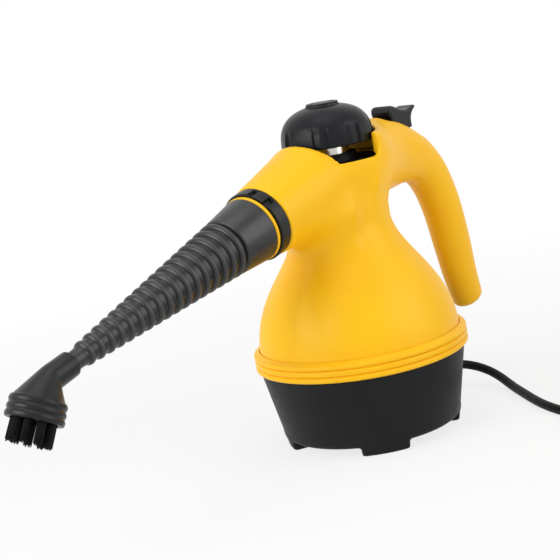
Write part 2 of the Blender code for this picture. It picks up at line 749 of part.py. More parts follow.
def make_housing(body):
    """Both halves: the skin, hollowed, with the cap's well, the trigger's slot and the screw bosses."""
    shell = skin_solid("housing_shell", 0.0, OUTER_COUNTS, False, body)
    hollow = skin_solid("housing_hollow", WALL, INNER_COUNTS, True, body)
    high = HOOD_Z + HANDLE_ROOT_DEPTH
    keep = [turned("cup_block", [(0, CUP_FLOOR_Z - WALL), (CUP_R + WALL, CUP_FLOOR_Z - WALL),
                                 (CUP_R + WALL, high), (0, high)], None, body)]
    reach = HANDLE_ROOT_WIDTH + SKIRT_R
    for x, z in BOSS_PLACES:
        keep.append(rod("boss", (x, -reach, z), (x, reach, z), BOSS_R, None, body, 8))
    for angle in FOOT_ANGLES:
        at = (POST_AT_R * math.cos(angle), POST_AT_R * math.sin(angle))
        low = BASE_TOP_Z + RIM_H + GAP
        keep.append(rod("post_boss", (*at, low), (*at, low + POST_BOSS_H), POST_R - WALL / 2, None, body, 8))
        wall_at = SKIRT_R - WALL / 2
        arm = rod("post_arm", (*at, low + POST_BOSS_H / 2),
                  (wall_at * math.cos(angle), wall_at * math.sin(angle), low + POST_BOSS_H / 2), WALL, None, body, 6)
        keep.append(arm)
    keep.append(block("valve_rest", (PRESS_X - CRADLE_W, -reach, VALVE_LOW_Z - CRADLE_W * 1.5),
                      (PRESS_X + CRADLE_W, reach, VALVE_LOW_Z - GAP), None, body))
    ear = PIN_BOSS_R + WALL / 2
    for side in (-1, 1):
        keep.append(block("pin_ear", (PIVOT_X - ear, min(side * TRIGGER_STEM_W / 2 + side * CLEAR, side * reach),
                                      PIVOT_Z - ear),
                          (PIVOT_X + ear, max(side * TRIGGER_STEM_W / 2 + side * CLEAR, side * reach),
                           PIVOT_Z + ear / 2), None, body))
    cut(hollow, *keep)
    cutters = [hollow]
    cutters.append(turned("well", [(0, CUP_FLOOR_Z), (CUP_R, CUP_FLOOR_Z), (CUP_R, high), (0, high)], None, body))
    cutters.append(turned("neck_hole", [(0, CUP_FLOOR_Z - WALL - OVERRUN), (NECK_HOLE_R, CUP_FLOOR_Z - WALL - OVERRUN),
                                        (NECK_HOLE_R, high), (0, high)], None, body, 24))
    cutters.append(rod("collar_bore", nozzle_point(-COLLAR_SPIGOT_BACK - GAP), nozzle_point(OVERRUN),
                       COLLAR_SPIGOT_R + GAP, None, body, ROUND))
    cutters.append(extruded("side_lip", side_lip_outline(high), 2 * reach, None, body, axis="Y"))
    cutters.append(extruded("trigger_slot", rounded_box(SLOT_BACK_X - SLOT_FRONT_X, SLOT_W, SLOT_W / 4),
                            high - SLOT_LOW_Z, None, body,
                            place=((SLOT_FRONT_X + SLOT_BACK_X) / 2, 0, (high + SLOT_LOW_Z) / 2)))
    cutters.append(rod("pin_hole", (PIVOT_X, -TRIGGER_W / 2 - CLEAR, PIVOT_Z),
                       (PIVOT_X, TRIGGER_W / 2 + CLEAR, PIVOT_Z), PIN_R + GAP, None, body, 8))
    for x, z in BOSS_PLACES:
        cutters.append(rod("screw_bore", (x, -COUNTERBORE_FLOOR_Y, z), (x, reach, z), BOSS_BORE_R, None, body, 6))
        cutters.append(rod("counterbore", (x, COUNTERBORE_FLOOR_Y, z), (x, reach, z), HEAD_R + GAP, None, body, 8))
    for angle in FOOT_ANGLES:
        at = (POST_AT_R * math.cos(angle), POST_AT_R * math.sin(angle))
        low = BASE_TOP_Z + RIM_H
        cutters.append(rod("base_screw_bore", (*at, low), (*at, low + POST_BOSS_H - WALL), BOSS_BORE_R, None, body, 6))
    wide = HANDLE_REACH + SKIRT_R
    for name, low_y, high_y in (("housing_left", -GAP / 2, wide), ("housing_right", -wide, GAP / 2)):
        half = add_object(name, shell.data.copy(), yellow_plastic(), body)
        cut(half, block("other_side", (-wide, low_y, -wide), (wide, high_y, high + wide), None, body))
        tidy_faces(combine(half, cutters, "DIFFERENCE", keep=True))
    for spent in [shell] + cutters:
        bpy.data.objects.remove(spent, do_unlink=True)


def side_lip_outline(high):
    """The low rim at each side of the cap, with a round corner where the hood rises behind it."""
    corner = [(SIDE_LIP_BACK_X - SIDE_LIP_CORNER * (1 - math.sin(a)),
               SIDE_LIP_Z + SIDE_LIP_CORNER * (1 - math.cos(a)))
              for a in np.linspace(0, math.pi / 2, 5)]
    return [(SIDE_LIP_FRONT_X, SIDE_LIP_Z)] + corner + [(SIDE_LIP_BACK_X, high), (SIDE_LIP_FRONT_X, high)]


def rounded_box(length, width, corner, steps=3):
    points = []
    for cx, cy, start in ((1, 1, 0), (-1, 1, 90), (-1, -1, 180), (1, -1, 270)):
        for a in np.linspace(0, 90, steps + 1):
            angle = math.radians(start + a)
            points.append((cx * (length / 2 - corner) + corner * math.cos(angle),
                           cy * (width / 2 - corner) + corner * math.sin(angle)))
    return points


def make_base(body):
    low = FOOT_H
    rim_r = SKIRT_R
    slope = (BASE_TOP_R - BASE_LOW_R) / (BASE_TOP_Z - FOOT_H)
    edge = [(BASE_LOW_R - BASE_EDGE_R * (1 - math.sin(a)), low + BASE_EDGE_R * (1 - math.cos(a)))
            for a in np.linspace(0, math.pi / 2, 3)]
    inner_low = BASE_LOW_R + slope * BASE_FLOOR - BASE_WALL
    outline = [(0, low)] + edge + [
        (BASE_TOP_R, BASE_TOP_Z), (rim_r, BASE_TOP_Z), (rim_r, BASE_TOP_Z + RIM_H),
        (rim_r - BASE_WALL, BASE_TOP_Z + RIM_H), (rim_r - BASE_WALL, BASE_TOP_Z - BASE_WALL),
        (inner_low, low + BASE_FLOOR), (0, low + BASE_FLOOR)]
    base = turned("base_shell", outline, black_plastic(), body, 32)
    adds, cuts = [], []
    foot_top = FOOT_H + BASE_FLOOR / 2
    for angle in FOOT_ANGLES:
        arc = np.linspace(angle - FOOT_SPREAD / 2, angle + FOOT_SPREAD / 2, 5)
        ring = [(FOOT_OUT_R * math.cos(a), FOOT_OUT_R * math.sin(a)) for a in arc]
        ring += [(FOOT_IN_R * math.cos(a), FOOT_IN_R * math.sin(a)) for a in arc[::-1]]
        adds.append(extruded("foot", ring, foot_top, None, body, place=(0, 0, foot_top / 2)))
        at = (POST_AT_R * math.cos(angle), POST_AT_R * math.sin(angle))
        top = BASE_TOP_Z + RIM_H
        adds.append(rod("post", (*at, FOOT_H + BASE_FLOOR / 2), (*at, top), POST_R, None, body, 10))
        cuts.append(rod("screw_well", (*at, -OVERRUN), (*at, top - WEB_H), WELL_R, None, body, 8))
        cuts.append(rod("screw_way", (*at, -OVERRUN), (*at, top + OVERRUN), BOSS_BORE_R, None, body, 6))
    for k in range(3):
        angle = math.tau * (k + 0.5) / 3
        at = (BOILER_POST_AT_R * math.cos(angle), BOILER_POST_AT_R * math.sin(angle))
        adds.append(rod("boiler_post", (*at, FOOT_H + BASE_FLOOR / 2), (*at, BOILER_LOW_Z - GAP), BOILER_POST_R,
                        None, body, 10))
    cuts.append(rod("cord_hole", (0, 0, CORD_Z), (BASE_TOP_R + OVERRUN, 0, CORD_Z), RELIEF_BIG_R + GAP, None, body, 16))
    far = BASE_LOW_R - BASE_EDGE_R - BASE_WALL
    cuts[-1].data.transform(Matrix.Translation((far / 2, 0, 0)))
    join(base, *adds)
    return cut(base, *cuts)


def make_band(body):
    """Three rounded ribs round the joint of base and housing."""
    low = BASE_TOP_Z + GAP
    rib_h = BAND_H / BAND_RIBS
    outline = [(SKIRT_R + GAP, low)]
    for k in range(BAND_RIBS):
        for share in (0.1, 0.5, 0.9):
            bulge = (1 - (2 * share - 1) ** 4) ** 0.5
            outline.append((BAND_GROOVE_R + (BAND_RIB_R - BAND_GROOVE_R) * bulge, low + rib_h * (k + share)))
    outline.append((SKIRT_R + GAP, low + BAND_H))
    return turned("band_ring", outline, yellow_plastic(), body, 36)


def make_screws(body):
    screws = []
    for x, z in BOSS_PLACES:
        head = rod("s", (x, COUNTERBORE_FLOOR_Y + GAP, z), (x, COUNTERBORE_FLOOR_Y + GAP + HEAD_H, z), HEAD_R,
                   None, body, 6)
        shank = rod("s", (x, -COUNTERBORE_FLOOR_Y + GAP, z), (x, COUNTERBORE_FLOOR_Y + HEAD_H / 2, z), SHANK_R,
                    None, body, 6)
        screws.append(join(head, shank))
    name_screws("housing_screw", screws)
    screws = []
    web = BASE_TOP_Z + RIM_H - WEB_H
    for angle in FOOT_ANGLES:
        at = (POST_AT_R * math.cos(angle), POST_AT_R * math.sin(angle))
        head = rod("s", (*at, web - GAP - HEAD_H), (*at, web - GAP), HEAD_R, None, body, 6)
        shank = rod("s", (*at, web - GAP - HEAD_H / 2), (*at, web + WEB_H + POST_BOSS_H - WALL - GAP), SHANK_R,
                    None, body, 6)
        screws.append(join(head, shank))
    name_screws("base_screw", screws)
    screws = []
    top = FLANGE_Z + 2 * FLANGE_H + GASKET_H + 2 * GAP
    for k in range(BOILER_SCREWS):
        angle = math.tau * (k + 0.5) / BOILER_SCREWS
        at = (BOILER_SCREW_AT_R * math.cos(angle), BOILER_SCREW_AT_R * math.sin(angle))
        head = rod("s", (*at, top + GAP), (*at, top + GAP + HEAD_H), HEAD_R - 3 * GAP, None, body, 6)
        shank = rod("s", (*at, FLANGE_Z + GAP), (*at, top + HEAD_H / 2), SHANK_R - GAP, None, body, 8)
        screws.append(join(head, shank))
    name_screws("boiler_screw", screws)


def dome_points(outer, low, high, end_r, steps=3):
    """A quarter-ellipse from the boiler's wall up to its neck."""
    rows = []
    for a in np.linspace(0, math.acos(end_r / outer), steps + 1):
        rows.append((outer * math.cos(a), low + (high - low) * math.sin(a) / math.sin(math.acos(end_r / outer))))
    return rows


def make_boiler(body):
    floor = BOILER_LOW_Z + BOILER_WALL
    top = FLANGE_Z + FLANGE_H
    inner = BOILER_R - BOILER_WALL
    lower = turned("boiler_lower", [
        (0, BOILER_LOW_Z), (BOILER_R - BOILER_WALL, BOILER_LOW_Z), (BOILER_R, floor), (BOILER_R, FLANGE_Z),
        (FLANGE_R, FLANGE_Z), (FLANGE_R, top), (inner, top), (inner, floor + BOILER_WALL), (inner - BOILER_WALL, floor),
        (0, floor)], cast_aluminium(), body, 24)
    seal = top + GAP
    turned("boiler_gasket", [(inner + GAP, seal), (BOILER_SCREW_AT_R - SHANK_R - GAP, seal),
                             (BOILER_SCREW_AT_R - SHANK_R - GAP, seal + GASKET_H), (inner + GAP, seal + GASKET_H)],
           silicone(), body, 24)
    low = seal + GASKET_H + GAP
    outer_dome = dome_points(BOILER_R, DOME_FROM_Z, DOME_TOP_Z, SOCKET_R)
    inner_dome = dome_points(inner, DOME_FROM_Z, DOME_TOP_Z - BOILER_WALL, SOCKET_R)
    ledge_r = NECK_BORE_R
    upper = turned("boiler_upper", [(inner, low), (FLANGE_R, low), (FLANGE_R, low + FLANGE_H),
                                    (BOILER_R, low + FLANGE_H)] + outer_dome + [
        (SOCKET_R, SOCKET_TOP_Z), (NECK_TUBE_R + GAP, SOCKET_TOP_Z), (NECK_TUBE_R + GAP, SOCKET_LEDGE_Z),
        (ledge_r, SOCKET_LEDGE_Z), (ledge_r, SOCKET_LEDGE_Z - BOILER_WALL)]
        + [p for p in inner_dome[::-1] if p[1] < SOCKET_LEDGE_Z - BOILER_WALL], cast_aluminium(), body, 24)
    holes = []
    for k in range(BOILER_SCREWS):
        angle = math.tau * (k + 0.5) / BOILER_SCREWS
        at = (BOILER_SCREW_AT_R * math.cos(angle), BOILER_SCREW_AT_R * math.sin(angle))
        holes.append(rod("hole", (*at, FLANGE_Z - OVERRUN), (*at, low + FLANGE_H + OVERRUN), SHANK_R, None, body, 8))
    combine(lower, holes, "DIFFERENCE", keep=True)
    pipe_hole = rod("pipe_hole", (BOILER_PIPE_X, 0, DOME_FROM_Z), (BOILER_PIPE_X, 0, SOCKET_TOP_Z),
                    PIPE_R + GAP, None, body, 10)
    cut(upper, *holes, pipe_hole)
    turned("filler_neck", [(NECK_BORE_R, SOCKET_LEDGE_Z + GAP), (NECK_TUBE_R, SOCKET_LEDGE_Z + GAP),
                           (NECK_TUBE_R, NECK_TOP_Z), (NECK_BORE_R, NECK_TOP_Z)], bright_metal(), body, 20)
    ring_z = BOILER_LOW_Z - GAP - HEATER_TUBE_R
    angle = np.linspace(math.radians(20), math.radians(340), 17)
    loop = np.stack([HEATER_RING_R * np.cos(angle), HEATER_RING_R * np.sin(angle), np.full_like(angle, ring_z)], axis=1)
    tail = HEATER_RING_R + HEATER_TUBE_R * 2.5
    first, last = loop[0].copy(), loop[-1].copy()
    first[0], last[0] = tail, tail
    tube("heating_element", np.vstack([first, loop, last]), HEATER_TUBE_R, bright_metal(), body, 1)
    turned("thermostat", [(0, BOILER_LOW_Z - GAP - THERMOSTAT_H), (THERMOSTAT_R - BOILER_WALL, BOILER_LOW_Z - GAP - THERMOSTAT_H),
                          (THERMOSTAT_R - BOILER_WALL, BOILER_LOW_Z - GAP - THERMOSTAT_H / 2),
                          (THERMOSTAT_R, BOILER_LOW_Z - GAP - THERMOSTAT_H / 2),
                          (THERMOSTAT_R, BOILER_LOW_Z - GAP), (0, BOILER_LOW_Z - GAP)], brass(), body, 14)
    fuse_z = BOILER_LOW_Z - GAP - FUSE_R
    rod("thermal_fuse", (-FUSE_LENGTH / 2, FUSE_Y, fuse_z), (FUSE_LENGTH / 2, FUSE_Y, fuse_z), FUSE_R, brass(), body, 10)


def make_steam_path(body):
    """Valve, its stem and spring, and the pipes from boiler to valve to spout."""
    x = PRESS_X
    valve = turned("valve_body", [(0, VALVE_LOW_Z), (VALVE_R, VALVE_LOW_Z), (VALVE_R, VALVE_TOP_Z),
                                  (STEM_R + GAP, VALVE_TOP_Z), (STEM_R + GAP, VALVE_TOP_Z - STEM_DEPTH),
                                  (0, VALVE_TOP_Z - STEM_DEPTH)], brass(), body, 20)
    valve.data.transform(Matrix.Translation((x, 0, 0)))
    stem = turned("valve_stem", [(0, VALVE_TOP_Z - STEM_DEPTH + STEM_TRAVEL + GAP),
                                 (STEM_R, VALVE_TOP_Z - STEM_DEPTH + STEM_TRAVEL + GAP),
                                 (STEM_R, STEM_TOP_Z - STEM_HEAD_H), (STEM_HEAD_R, STEM_TOP_Z - STEM_HEAD_H),
                                 (STEM_HEAD_R, STEM_TOP_Z - STEM_HEAD_H * 0.6), (STEM_R, STEM_TOP_Z),
                                 (0, STEM_TOP_Z)], bright_metal(), body, 14)
    stem.data.transform(Matrix.Translation((x, 0, 0)))
    low = VALVE_TOP_Z + GAP + VALVE_SPRING_WIRE_R
    high = STEM_TOP_Z - STEM_HEAD_H - GAP - VALVE_SPRING_WIRE_R
    spring = helix(VALVE_SPRING_R, low, high, VALVE_SPRING_TURNS) + np.array([x, 0, 0])
    tube("valve_spring", spring, VALVE_SPRING_WIRE_R, bright_metal(), body, 1)
    inlet_z = VALVE_LOW_Z + PIPE_R * 2
    inlet = smooth_path([(BOILER_PIPE_X, 0, DOME_TOP_Z - BOILER_WALL), (BOILER_PIPE_X, 0, NECK_Z - NECK_R / 2),
                         (BOILER_PIPE_X, 0, NECK_Z), (BOILER_PIPE_X * 1.3, 0, inlet_z - PIPE_R),
                         (x - VALVE_R * 2, 0, inlet_z), (x - VALVE_R - GAP, 0, inlet_z)], 3)
    tube("steam_inlet_pipe", inlet, PIPE_R, brass(), body, 1)
    z = CUP_FLOOR_Z - WALL - PIPE_R * 1.6
    round_neck = NECK_TUBE_R + PIPE_R * 3
    back = nozzle_point(SPOUT_TUBE_FROM - GAP)
    outlet = smooth_path([(x - VALVE_R - GAP, 0, z), (x - VALVE_R * 2, -PIPE_R, z),
                          (round_neck, -round_neck * 0.75, z), (0, -round_neck, z),
                          (-round_neck, -round_neck * 0.55, z - PIPE_R), (back[0] + VALVE_R * 1.1, 0, back[2] + PIPE_R),
                          tuple(back)], 3)
    tube("steam_outlet_pipe", outlet, PIPE_R, brass(), body, 1)


def nozzle_point(along, up=0.0):
    """A point on the nozzle's line, measured forward from the spout's face."""
    way = np.array([-math.cos(NOZZLE_TILT), 0, -math.sin(NOZZLE_TILT)])
    normal = np.array([-math.sin(NOZZLE_TILT), 0, math.cos(NOZZLE_TILT)])
    return np.array([SPOUT_FACE_X, 0, SPOUT_FACE_Z]) + way * along + normal * up


def make_wiring(body):
    """Cord entry, terminal block and the two wires to the heater."""
    half = [s / 2 for s in BLOCK_SIZE]
    low = FOOT_H + BASE_FLOOR + GAP
    block("terminal_block", (BLOCK_X - half[0], -half[1], low), (BLOCK_X + half[0], half[1], low + BLOCK_SIZE[2]),
          nylon(), body)
    ring_z = BOILER_LOW_Z - GAP - HEATER_TUBE_R
    tail_x = HEATER_RING_R + HEATER_TUBE_R * 2.5 + GAP
    tail_y = HEATER_RING_R * math.sin(math.radians(20))
    block_top = low + BLOCK_SIZE[2]
    for name, side in (("live_wire", -1), ("neutral_wire", 1)):
        at_y = side * half[1] * 0.6
        path = smooth_path([(tail_x + WIRE_R, side * tail_y, ring_z), (tail_x + WIRE_R * 3, side * tail_y, ring_z + WIRE_R),
                            (BLOCK_X, side * tail_y, block_top + WIRE_R * 3),
                            (BLOCK_X, at_y, block_top + WIRE_R * 3), (BLOCK_X, at_y, block_top + GAP)], 3)
        tube(name, path, WIRE_R, nylon(), body, 1)
    wall_x = BASE_LOW_R + (BASE_TOP_R - BASE_LOW_R) * (CORD_Z - FOOT_H) / (BASE_TOP_Z - FOOT_H)
    block_back = BLOCK_X + half[0]
    lean = (BASE_TOP_R - BASE_LOW_R) / (BASE_TOP_Z - FOOT_H) * RELIEF_COLLAR_R
    bulge = RELIEF_COLLAR_R ** 2 / (2 * BASE_LOW_R)
    collar = -(BASE_WALL + lean + bulge + GAP)
    relief = turned("strain_relief", [(CORD_R + GAP, collar - BASE_WALL), (RELIEF_COLLAR_R, collar - BASE_WALL),
                                      (RELIEF_COLLAR_R, collar), (RELIEF_BIG_R, collar), (RELIEF_BIG_R, WALL),
                                      (RELIEF_SMALL_R, RELIEF_LENGTH), (CORD_R + GAP, RELIEF_LENGTH)],
                    black_rubber(), body, 14)
    relief.data.transform(Matrix.Translation((wall_x, 0, CORD_Z)) @ Matrix.Rotation(math.pi / 2, 4, "Y"))
    rod("cord_tail", (block_back + GAP, 0, CORD_Z), (wall_x + RELIEF_LENGTH - GAP, 0, CORD_Z), CORD_R,
        black_rubber(), body, 12)


def make_cord(body):
    """The lead along the floor, the unseen length in a tied coil, and the plug at its end."""
    lead = evenly(np.array(CORD_POINTS_MM) * MM, CORD_POINT_SPACING)
    tube("cord_lead", lead, CORD_R, black_rubber(), body, 2)
    coil = coil_points(lead[-1])
    tube("cord_coil", coil, CORD_R, black_rubber(), body, 1)
    whole = RELIEF_LENGTH + run_of(lead) + run_of(coil)
    print(f"cord {whole:.3f} m, least gap in the coil {least_gap(coil, 2 * CORD_R) / MM:.2f} mm")
    make_plug(body, coil[-1])
    make_tie(body, lead[-1])


def evenly(points, spacing):
    """Points of the smooth route at even steps."""
    fine = smooth_path(points, 12)
    run = np.concatenate([[0], np.cumsum(np.linalg.norm(np.diff(fine, axis=0), axis=1))])
    even = np.linspace(0, run[-1], round(run[-1] / spacing) + 1)
    return np.stack([np.interp(even, run, fine[:, k]) for k in range(3)], axis=1)


def run_of(points):
    return float(np.linalg.norm(np.diff(points, axis=0), axis=1).sum())


def least_gap(points, thick):
    """The least space between the tube's own turns, from its centre points."""
    run = np.concatenate([[0], np.cumsum(np.linalg.norm(np.diff(points, axis=0), axis=1))])
    apart = np.linalg.norm(points[:, None] - points[None], axis=2)
    apart[abs(run[:, None] - run[None]) < 4 * thick] = 1.0
    return float(apart.min()) - thick


def coil_middle(start):
    """The coil's centre, from the point where the lead meets it heading -Y on the coil's -X side."""
    outer = COIL_MIDDLE_R + COIL_PITCH * COIL_TURNS_PER_LAYER / 2
    return start[0] + outer, start[1] - COIL_START_RUN - GAP, outer


def coil_points(start):
    """A straight start, turns that spiral in and out again layer by layer, and a run down to the plug.

    The radius falls and rises by one pitch a turn, and each climb takes the half turn round a reversal.
    """
    x, y, outer = coil_middle(start)
    total = COIL_TURNS_PER_LAYER * COIL_LAYERS
    turn = np.linspace(0, total, round(total * COIL_POINTS_PER_TURN) + 1)
    angle = math.pi + turn * math.tau
    layer = turn / COIL_TURNS_PER_LAYER
    inward = COIL_TURNS_PER_LAYER * (1 - abs(1 - layer % 2))
    radius = outer - COIL_PITCH * inward
    z = np.full_like(turn, COIL_LIFT + CORD_R)
    for k in range(1, COIL_LAYERS):
        share = np.clip((turn - k * COIL_TURNS_PER_LAYER) / CLIMB_TURNS + 0.5, 0, 1)
        z += COIL_PITCH * share * share * (3 - 2 * share)
    turns = np.stack([x + radius * np.cos(angle), y + radius * np.sin(angle), z], axis=1)
    first = np.array([[start[0], start[1] - GAP, z[0]]])
    end = turns[-1]
    plug_z = PLUG_R + GAP
    plug_x = end[0] - PLUG_ASIDE
    run = smooth_path([turns[-3], end, (end[0] - PLUG_ASIDE / 3, end[1] - PLUG_AWAY / 3, (end[2] * 3 + plug_z) / 4),
                       (plug_x, end[1] - PLUG_AWAY * 0.75, plug_z), (plug_x, end[1] - PLUG_AWAY, plug_z)], 3)
    return np.vstack([first, turns, run[4:]])


def make_plug(body, end):
    """A round two-pin plug that lies on its rim beside the coil, its pins to -Y."""
    place = Matrix.Translation((end[0], end[1] - GAP, end[2])) @ Matrix.Rotation(math.pi / 2, 4, "X")
    profile = [(0, 0), (PLUG_NECK_R, 0), (PLUG_NECK_R * 1.15, PLUG_LENGTH * 0.3), (PLUG_R * 0.8, PLUG_LENGTH * 0.48),
               (PLUG_R, PLUG_LENGTH * 0.6), (PLUG_R, PLUG_LENGTH), (0, PLUG_LENGTH)]
    turned("plug", profile, black_rubber(), body, 16).data.transform(place)
    for name, side in (("plug_pin_1", -1), ("plug_pin_2", 1)):
        x = side * PLUG_PIN_SPACING / 2
        pin = rod(name, (x, 0, PLUG_LENGTH + GAP), (x, 0, PLUG_LENGTH + PLUG_PIN_LENGTH), PLUG_PIN_R, brass(), body, 10)
        pin.data.transform(place)


def make_tie(body, start):
    """A strap round the whole bundle of turns, at one place on the coil."""
    x, y, outer = coil_middle(start)
    wide = COIL_PITCH * COIL_TURNS_PER_LAYER + 2 * CORD_R + 2 * GAP
    high = COIL_PITCH * (COIL_LAYERS - 1) + 2 * CORD_R + 2 * GAP
    loop = rounded_box(wide + 2 * TIE_THICK, high + 2 * TIE_THICK, TIE_CORNER + TIE_THICK)
    hole = rounded_box(wide, high, TIE_CORNER)
    place = (Matrix.Translation((x, y, COIL_LIFT - GAP + high / 2)) @ Matrix.Rotation(TIE_ANGLE, 4, "Z")
             @ Matrix.Translation((COIL_MIDDLE_R, 0, 0)) @ Matrix.Rotation(math.pi / 2, 4, "X"))
    tie = extruded("cord_tie", loop, TIE_W, black_rubber(), body)
    inner = extruded("tie_hole", hole, TIE_W + OVERRUN, None, body)
    cut(tie, inner)
    tie.data.transform(place)


def make_cap(body):
    """Safety cap: outer shell with tongues, disc, plug, seal, relief valve, press spring and retainer."""
    make_cap_shell(body)
    disc_low = DISC_TOP_Z - DISC_H
    ring_in, ring_out = DISC_RING_R - DISC_RING_W, DISC_RING_R
    turned("cap_disc", [(0, disc_low), (DISC_R - GAP, disc_low), (DISC_R - GAP, DISC_TOP_Z - GAP), (DISC_R - 2 * GAP, DISC_TOP_Z),
                        (ring_out, DISC_TOP_Z), (ring_out, DISC_TOP_Z - DISC_RING_DEPTH),
                        (ring_in, DISC_TOP_Z - DISC_RING_DEPTH), (ring_in, DISC_TOP_Z), (0, DISC_TOP_Z)],
           black_plastic(), body, 20)
    flange_low = NECK_TOP_Z + SEAL_H + 2 * GAP
    flange_top = flange_low + PLUG_FLANGE_H
    plug = turned("cap_plug", [
        (RELIEF_R + GAP, NECK_TOP_Z - THREAD_H), (THREAD_R, NECK_TOP_Z - THREAD_H), (THREAD_R, flange_low),
        (PLUG_FLANGE_R, flange_low), (PLUG_FLANGE_R, flange_top), (PLUG_DOG_R, flange_top),
        (PLUG_DOG_R, flange_top + PLUG_DOG_H), (PLUG_STEM_R + CAP_SPRING_WIRE_R, flange_top + PLUG_DOG_H),
        (PLUG_STEM_R, flange_top + PLUG_DOG_H), (PLUG_STEM_R, POCKET_FLOOR_Z + GAP), (0, POCKET_FLOOR_Z + GAP),
        (0, NECK_TOP_Z), (RELIEF_R + GAP, NECK_TOP_Z)], nylon(), body, 18)
    teeth = []
    for k in range(PLUG_DOGS):
        angle = math.tau * k / PLUG_DOGS
        way = Vector((math.cos(angle), math.sin(angle), 0))
        start = way * PLUG_DOG_R * 0.82
        finish = way * (PLUG_DOG_R + CAP_WALL)
        z = flange_top + PLUG_DOG_H / 2 + CLEAR
        teeth.append(rod("gap", start + Vector((0, 0, flange_top + PLUG_DOG_H)), finish + Vector((0, 0, flange_top + PLUG_DOG_H)),
                         PLUG_DOG_H / 2, None, body, 8))
    cut(plug, *teeth)
    turned("cap_gasket", [(THREAD_R + GAP, NECK_TOP_Z + GAP), (SEAL_OUT_R, NECK_TOP_Z + GAP),
                          (SEAL_OUT_R, NECK_TOP_Z + GAP + SEAL_H), (THREAD_R + GAP, NECK_TOP_Z + GAP + SEAL_H)],
           silicone(), body, 20)
    top = NECK_TOP_Z - GAP
    turned("relief_valve", [(0, top - RELIEF_H), (RELIEF_R * 0.6, top - RELIEF_H), (RELIEF_R, top - RELIEF_H * 0.8),
                            (RELIEF_R, top), (0, top)], brass(), body, 18)
    retainer_low = POCKET_FLOOR_Z + 2 * GAP
    turned("cap_retainer", [(0, retainer_low), (RETAINER_R, retainer_low), (RETAINER_R, retainer_low + RETAINER_H),
                            (0, retainer_low + RETAINER_H)], bright_metal(), body, 16)
    low = flange_top + PLUG_DOG_H + GAP + CAP_SPRING_WIRE_R
    high = CAP_UNDER_Z - GAP - CAP_SPRING_WIRE_R
    tube("cap_spring", helix(CAP_SPRING_R, low, high, CAP_SPRING_TURNS), CAP_SPRING_WIRE_R, bright_metal(), body, 1)


def cap_radius(z):
    """The dome's outer radius at a height, a superellipse."""
    share = np.clip((z - CAP_RIM_Z) / CAP_DOME_H, 0, 1)
    return CAP_R * (1 - share ** 2.8) ** 0.435


def make_cap_shell(body):
    """A grid of rows and angles. Between the tongues the surface is set in, and the tongues end in round tops."""
    per = (-TONGUE_HALF_SHARE - 0.05, -TONGUE_HALF_SHARE, 0, TONGUE_HALF_SHARE, TONGUE_HALF_SHARE + 0.05)
    angles = [math.tau * (k + share) / CAP_TONGUES for k in range(CAP_TONGUES) for share in per]
    shares = [share for k in range(CAP_TONGUES) for share in per]
    heights = [CAP_RIM_Z + CAP_DOME_H * h for h in (0, 0.30, 0.44, 0.57, 0.72, 0.86, 0.96)]
    bm = bmesh.new()
    rows = []
    for z in heights:
        base_r = float(cap_radius(z))
        row = []
        for angle, share in zip(angles, shares):
            inside = abs(share) <= TONGUE_HALF_SHARE
            height = CAP_RIM_Z + TONGUE_H
            depth = 0.0 if inside else TONGUE_DEPTH
            fade = np.clip((height - z) / (TONGUE_H * 0.35), 0, 1)
            row.append(bm.verts.new(((base_r - depth * fade) * math.cos(angle), (base_r - depth * fade) * math.sin(angle), z)))
        rows.append(row)
    for a, b in zip(rows, rows[1:]):
        for i in range(len(a)):
            j = (i + 1) % len(a)
            bm.faces.new((a[i], a[j], b[j], b[i]))
    hub = bm.verts.new((0, 0, heights[-1]))
    foot = bm.verts.new((0, 0, heights[0]))
    for i in range(len(rows[0])):
        j = (i + 1) % len(rows[0])
        bm.faces.new((rows[-1][i], rows[-1][j], hub))
        bm.faces.new((rows[0][i], rows[0][j], foot))
    shell = add_object("cap_shell", mesh_of(bm, "cap_shell"), black_plastic(), body)
    inner = []
    for z in (CAP_RIM_Z, CAP_RIM_Z + CAP_DOME_H * 0.45):
        inner.append((float(cap_radius(z)) - TONGUE_DEPTH - CAP_WALL, z))
    under = (float(cap_radius(CAP_UNDER_Z + CAP_WALL)) - CAP_WALL, CAP_UNDER_Z)
    hollow = turned("hollow", [(0, CAP_RIM_Z - OVERRUN), (inner[0][0], CAP_RIM_Z - OVERRUN)] + inner
                    + [under, (0, CAP_UNDER_Z)], None, body, 20)
    pocket = turned("pocket", [(0, POCKET_FLOOR_Z), (POCKET_R, POCKET_FLOOR_Z), (POCKET_R, DISC_TOP_Z - DISC_H - GAP),
                               (DISC_R, DISC_TOP_Z - DISC_H - GAP), (DISC_R, DISC_TOP_Z + OVERRUN), (0, DISC_TOP_Z + OVERRUN)],
                    None, body, 24)
    way = rod("way", (0, 0, CAP_UNDER_Z - OVERRUN), (0, 0, DISC_TOP_Z), PLUG_STEM_R + CLEAR, None, body, 16)
    seat = turned("seat", [(DISC_R - CLEAR, POCKET_FLOOR_Z), (DISC_R + CAP_WALL, POCKET_FLOOR_Z),
                           (DISC_R + CAP_WALL, DISC_TOP_Z - DISC_H), (DISC_R - CLEAR, DISC_TOP_Z - DISC_H)], None, body, 20)
    skirt_r = PLUG_DOG_R + CLEAR
    low = NECK_TOP_Z + SEAL_H + 2 * GAP + PLUG_FLANGE_H + PRESS_TRAVEL + CLEAR
    ring = turned("dog_ring", [(skirt_r, low), (skirt_r + CAP_WALL, low), (skirt_r + CAP_WALL, CAP_UNDER_Z + CAP_WALL / 2),
                               (skirt_r, CAP_UNDER_Z + CAP_WALL / 2)], None, body, 16)
    cut(shell, hollow)
    join(shell, seat, ring)
    return cut(shell, pocket, way)


